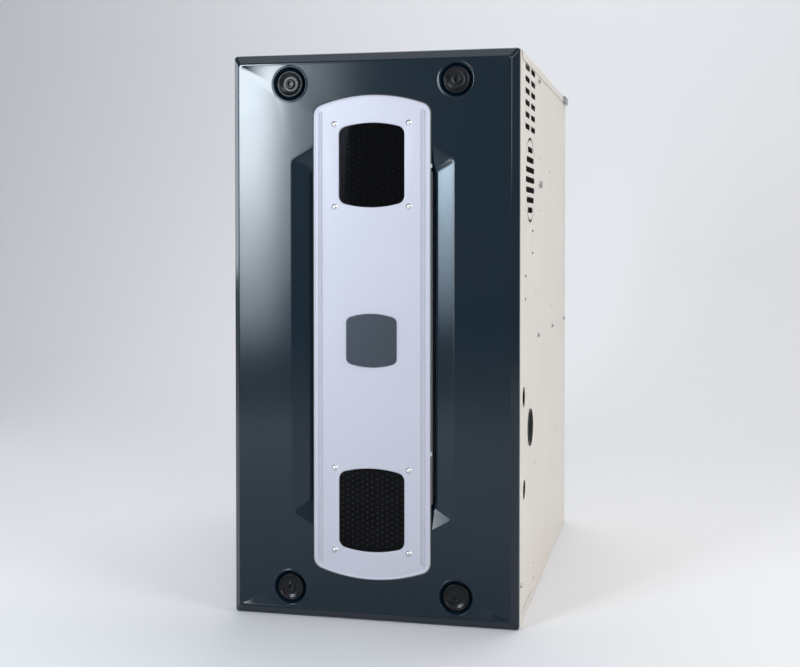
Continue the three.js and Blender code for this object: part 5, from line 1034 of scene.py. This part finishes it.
def valve_details():
    """Screws, taps, a connector and a label plate on the gas valve; spud nuts on the manifold."""
    b = Build()
    for x, z in ((-40, 682), (-40, 731), (40, 682), (40, 731), (10, 682), (10, 731)):
        b.turn("y", (x, z), [(0, -284.2), (2.4, -284), (3.4, -283.2), (3.6, -281.6)], 20)
    spud = [(5, -243.4), (8, -243.4), (8.6, -242.6), (8.6, -237), (8, -236), (5, -236)]
    for x in BURNER_XS:
        b.turn("y", (x, BURNER_Z), spud, 6)
    inlet = [(9.6, 60.4), (14, 60.4), (15.6, 59), (15.6, 49), (14, 47.6), (9.6, 47.6)]
    b.turn("x", (-253.7, 706.3), inlet, 8)
    b.turn("z", (0, -253.7), [(9, 741), (13, 741), (13.6, 742), (13.6, 750), (13, 751), (9, 751)], 6)
    b.piece("gas_train_fittings", GALVANISED, "cabinet", "galvanised")

    b = Build()
    b.turn("y", (-23, 706.3), [(0, -297.4), (9, -297.4), (10, -296.6), (10, -295.6)], 32)
    b.turn("y", (-23, 706.3), [(12, -295.8), (15.6, -295.2), (16, -294), (16, -288)], 32)
    b.block((0, 17), (-289, -281.6), (716, 730), 1.2)
    b.block((-142.5, -156), (-131.8, -116.2), (776, 779), 0.8)
    b.block((142.5, 156), (-131.8, -116.2), (776, 779), 0.8)
    b.piece("gas_train_plastics", BLACK_PLASTIC, "cabinet", "black_plastic")

    b = Build()
    b.block((-38, 16), (-282, -281.6), (685, 693), 0.1)
    b.block((-60, 60), (-161.75, -161.4), (560, 584), 0.1)
    b.piece("label_plates", WHITE_PLASTIC, "cabinet", "white_plastic")


def board_parts():
    """Tabs, capacitors, chips and plugs on the control board."""
    face = -152.3
    black, white, silver, red = Build(), Build(), Build(), Build()
    for i in range(11):
        for x, z in ((-105 + i * 9, 341), (-100.5 + i * 9, 353)):
            silver.block((x - 0.5, x + 0.5), (face - 8, face), (z, z + 6), 0.2)
    for x, z, radius, depth in ((-98, 402, 8, 16), (-80, 406, 5, 11), (-67, 406, 5, 11), (-88, 386, 4, 9)):
        can = [(0, face - depth), (radius - 0.8, face - depth), (radius, face - depth + 0.8), (radius, face)]
        black.turn("y", (x, z), can, 28)
    black.block((-50, -26), (face - 3, face), (386, 402), 0.4)
    black.block((-18, -8), (face - 2.4, face), (392, 408), 0.4)
    for i in range(8):
        for z in (384.6, 403.4):
            silver.block((-48.6 + i * 3, -47.4 + i * 3), (face - 2, face), (z - 1.6, z + 1.6), 0.2)
    white.block((-110, -102), (face - 12, face), (290, 334), 0.8)
    white.block((6, 20), (face - 9, face), (300, 330), 0.8)
    white.block((-70, -40), (face - 10, face), (366, 376), 0.8)
    red.block((-3, 5), (face - 11, face), (396, 412), 0.8)
    red.block((8, 11), (face - 3, face), (404, 407), 0.5)
    black.piece("board_black_plastic", BLACK_PLASTIC, "cabinet", "black_plastic")
    white.piece("board_white_plastic", WHITE_PLASTIC, "cabinet", "white_plastic")
    silver.piece("board_silver", BRIGHT_STEEL, "cabinet", "silver")
    red.piece("board_red_plastic", RED_PLASTIC, "cabinet", "red_plastic")


WIRES = {
    "red": (RED_PLASTIC, "red_plastic", [
        [(8, -290, 722), (12, -300, 716), (34, -296, 700), (70, -240, 668), (88, -150, 662), (90, -136, 672)],
        [(-42, -160, 344), (-42, -172, 338), (20, -190, 362), (90, -215, 384), (104, -226, 392)],
    ]),
    "white": (WHITE_PLASTIC, "white_plastic", [
        [
            (-149, -124, 756), (-149, -124, 700), (-138, -136, 655),
            (-20, -140, 618), (6, -180, 612), (9, -193, 590),
        ],
        [
            (-60, -160, 356), (-58, -176, 350), (10, -196, 378),
            (60, -240, 386), (60, -308, 388), (60, -312, 397),
        ],
    ]),
    "black": (BLACK_PLASTIC, "black_plastic", [
        [
            (149, -124, 756), (149, -124, 690), (140, -138, 640),
            (60, -150, 612), (22, -185, 606), (15, -195, 586),
        ],
        [
            (108, -181, 822), (120, -196, 828), (166, -190, 800),
            (168, -150, 740), (140, -130, 700), (112, -128, 700),
        ],
        [(-24, -160, 344), (-22, -178, 340), (40, -200, 372), (116, -220, 380), (124, -226, 390)],
        [(-106, -236, 492), (-100, -236, 478), (-60, -226, 470), (-10, -205, 486), (10, -197, 500)],
    ]),
}


def wires():
    for name, (material, slot, routes) in WIRES.items():
        b = Build()
        for route in routes:
            b.tube(eased(route, 16, 6), 1.5, 8)
        b.piece(f"wires_{name}", material, "cabinet", slot)


camera()
door()
strip()
windows()
screens()
badge()
latches()
window_screws()
side_panels()
side_fasteners()
blower()
inducer()
heat_exchanger()
fittings()
valve_details()
board_parts()
wires()

# ---- Everything else keeps its form, with its edges rounded ----

replaced = {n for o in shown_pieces() for n in o.get("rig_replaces", [])}
for node in sorted(frame["nodes"]):
    if node not in replaced:
        softened(node)


def stage():
    """A floor that curves up into the backdrop."""
    floor = Build()
    far, wall_y, floor_z = 9000, 2600, -0.5
    sweep = eased([(-far, floor_z), (wall_y, floor_z), (wall_y, far)], 1400, 16)
    rings = [[(x, y, z) for x in (-far, far)] for y, z in sweep]
    lines = [floor.ring(ring) for ring in rings]
    for first, second in zip(lines, lines[1:]):
        floor.bm.faces.new([first[0], first[1], second[1], second[0]])
    bmesh.ops.scale(floor.bm, vec=(MM, MM, MM), verts=floor.bm.verts)
    data = bpy.data.meshes.new("studio_sweep")
    floor.bm.to_mesh(data)
    floor.bm.free()
    data.polygons.foreach_set("use_smooth", [True] * len(data.polygons))
    made = bpy.data.objects.new("studio_sweep", data)
    data.materials.append(stage_pale("studio_sweep", (0.70, 0.705, 0.72)))
    bpy.context.scene.collection.objects.link(made)


def world():
    made = bpy.data.worlds.new("studio")
    bpy.context.scene.world = made
    made.use_nodes = True
    back = made.node_tree.nodes["Background"]
    back.inputs["Color"].default_value = (0.93, 0.95, 1.0, 1)
    back.inputs["Strength"].default_value = 0.33


stage()
world()
lamp("key_softbox", (-1.03, -2.62, 0.8), (-0.19, -0.37, 0.7), (0.21, 1.3), 34, (0.84, 0.93, 1.0), (0, 0.62))
lamp("key_fill", (-0.84, -2.7, 0.8), (-0.1, -0.37, 0.7), (0.26, 1.3), 4.5, (0.72, 0.87, 1.0), (0, 0.6))
lamp("left_softbox", (-1.24, -2.23, 0.8), (0.11, -0.36, 0.66), (0.16, 1.1), 20, (0.64, 0.83, 1.0), (0, 0.6))
lamp("rim_softbox", (-2.3, 0.55, 0.9), (-0.22, -0.36, 0.7), (0.7, 0.9), 5, (0.80, 0.90, 1.0))
lamp("front_softbox", (0.9, -3.3, 2.6), (0, -0.3, 0.4), (1.8, 1.2), 30, (1.0, 0.97, 0.94))
lamp("right_softbox", (2.9, -1.7, 1.6), (0.22, 0.0, 0.45), (1.6, 1.6), 50, (1.0, 0.975, 0.94))
lamp("top_softbox", (0.2, 1.0, 3.4), (0, 0.4, 0.2), (2.4, 1.8), 60)
lamp("over_softbox", (-0.55, -0.37, 3.0), (-0.55, -0.37, 0.8), (1.5, 0.4), 2.2, (0.92, 0.96, 1.0))
bpy.context.scene.view_settings.view_transform = "Standard"
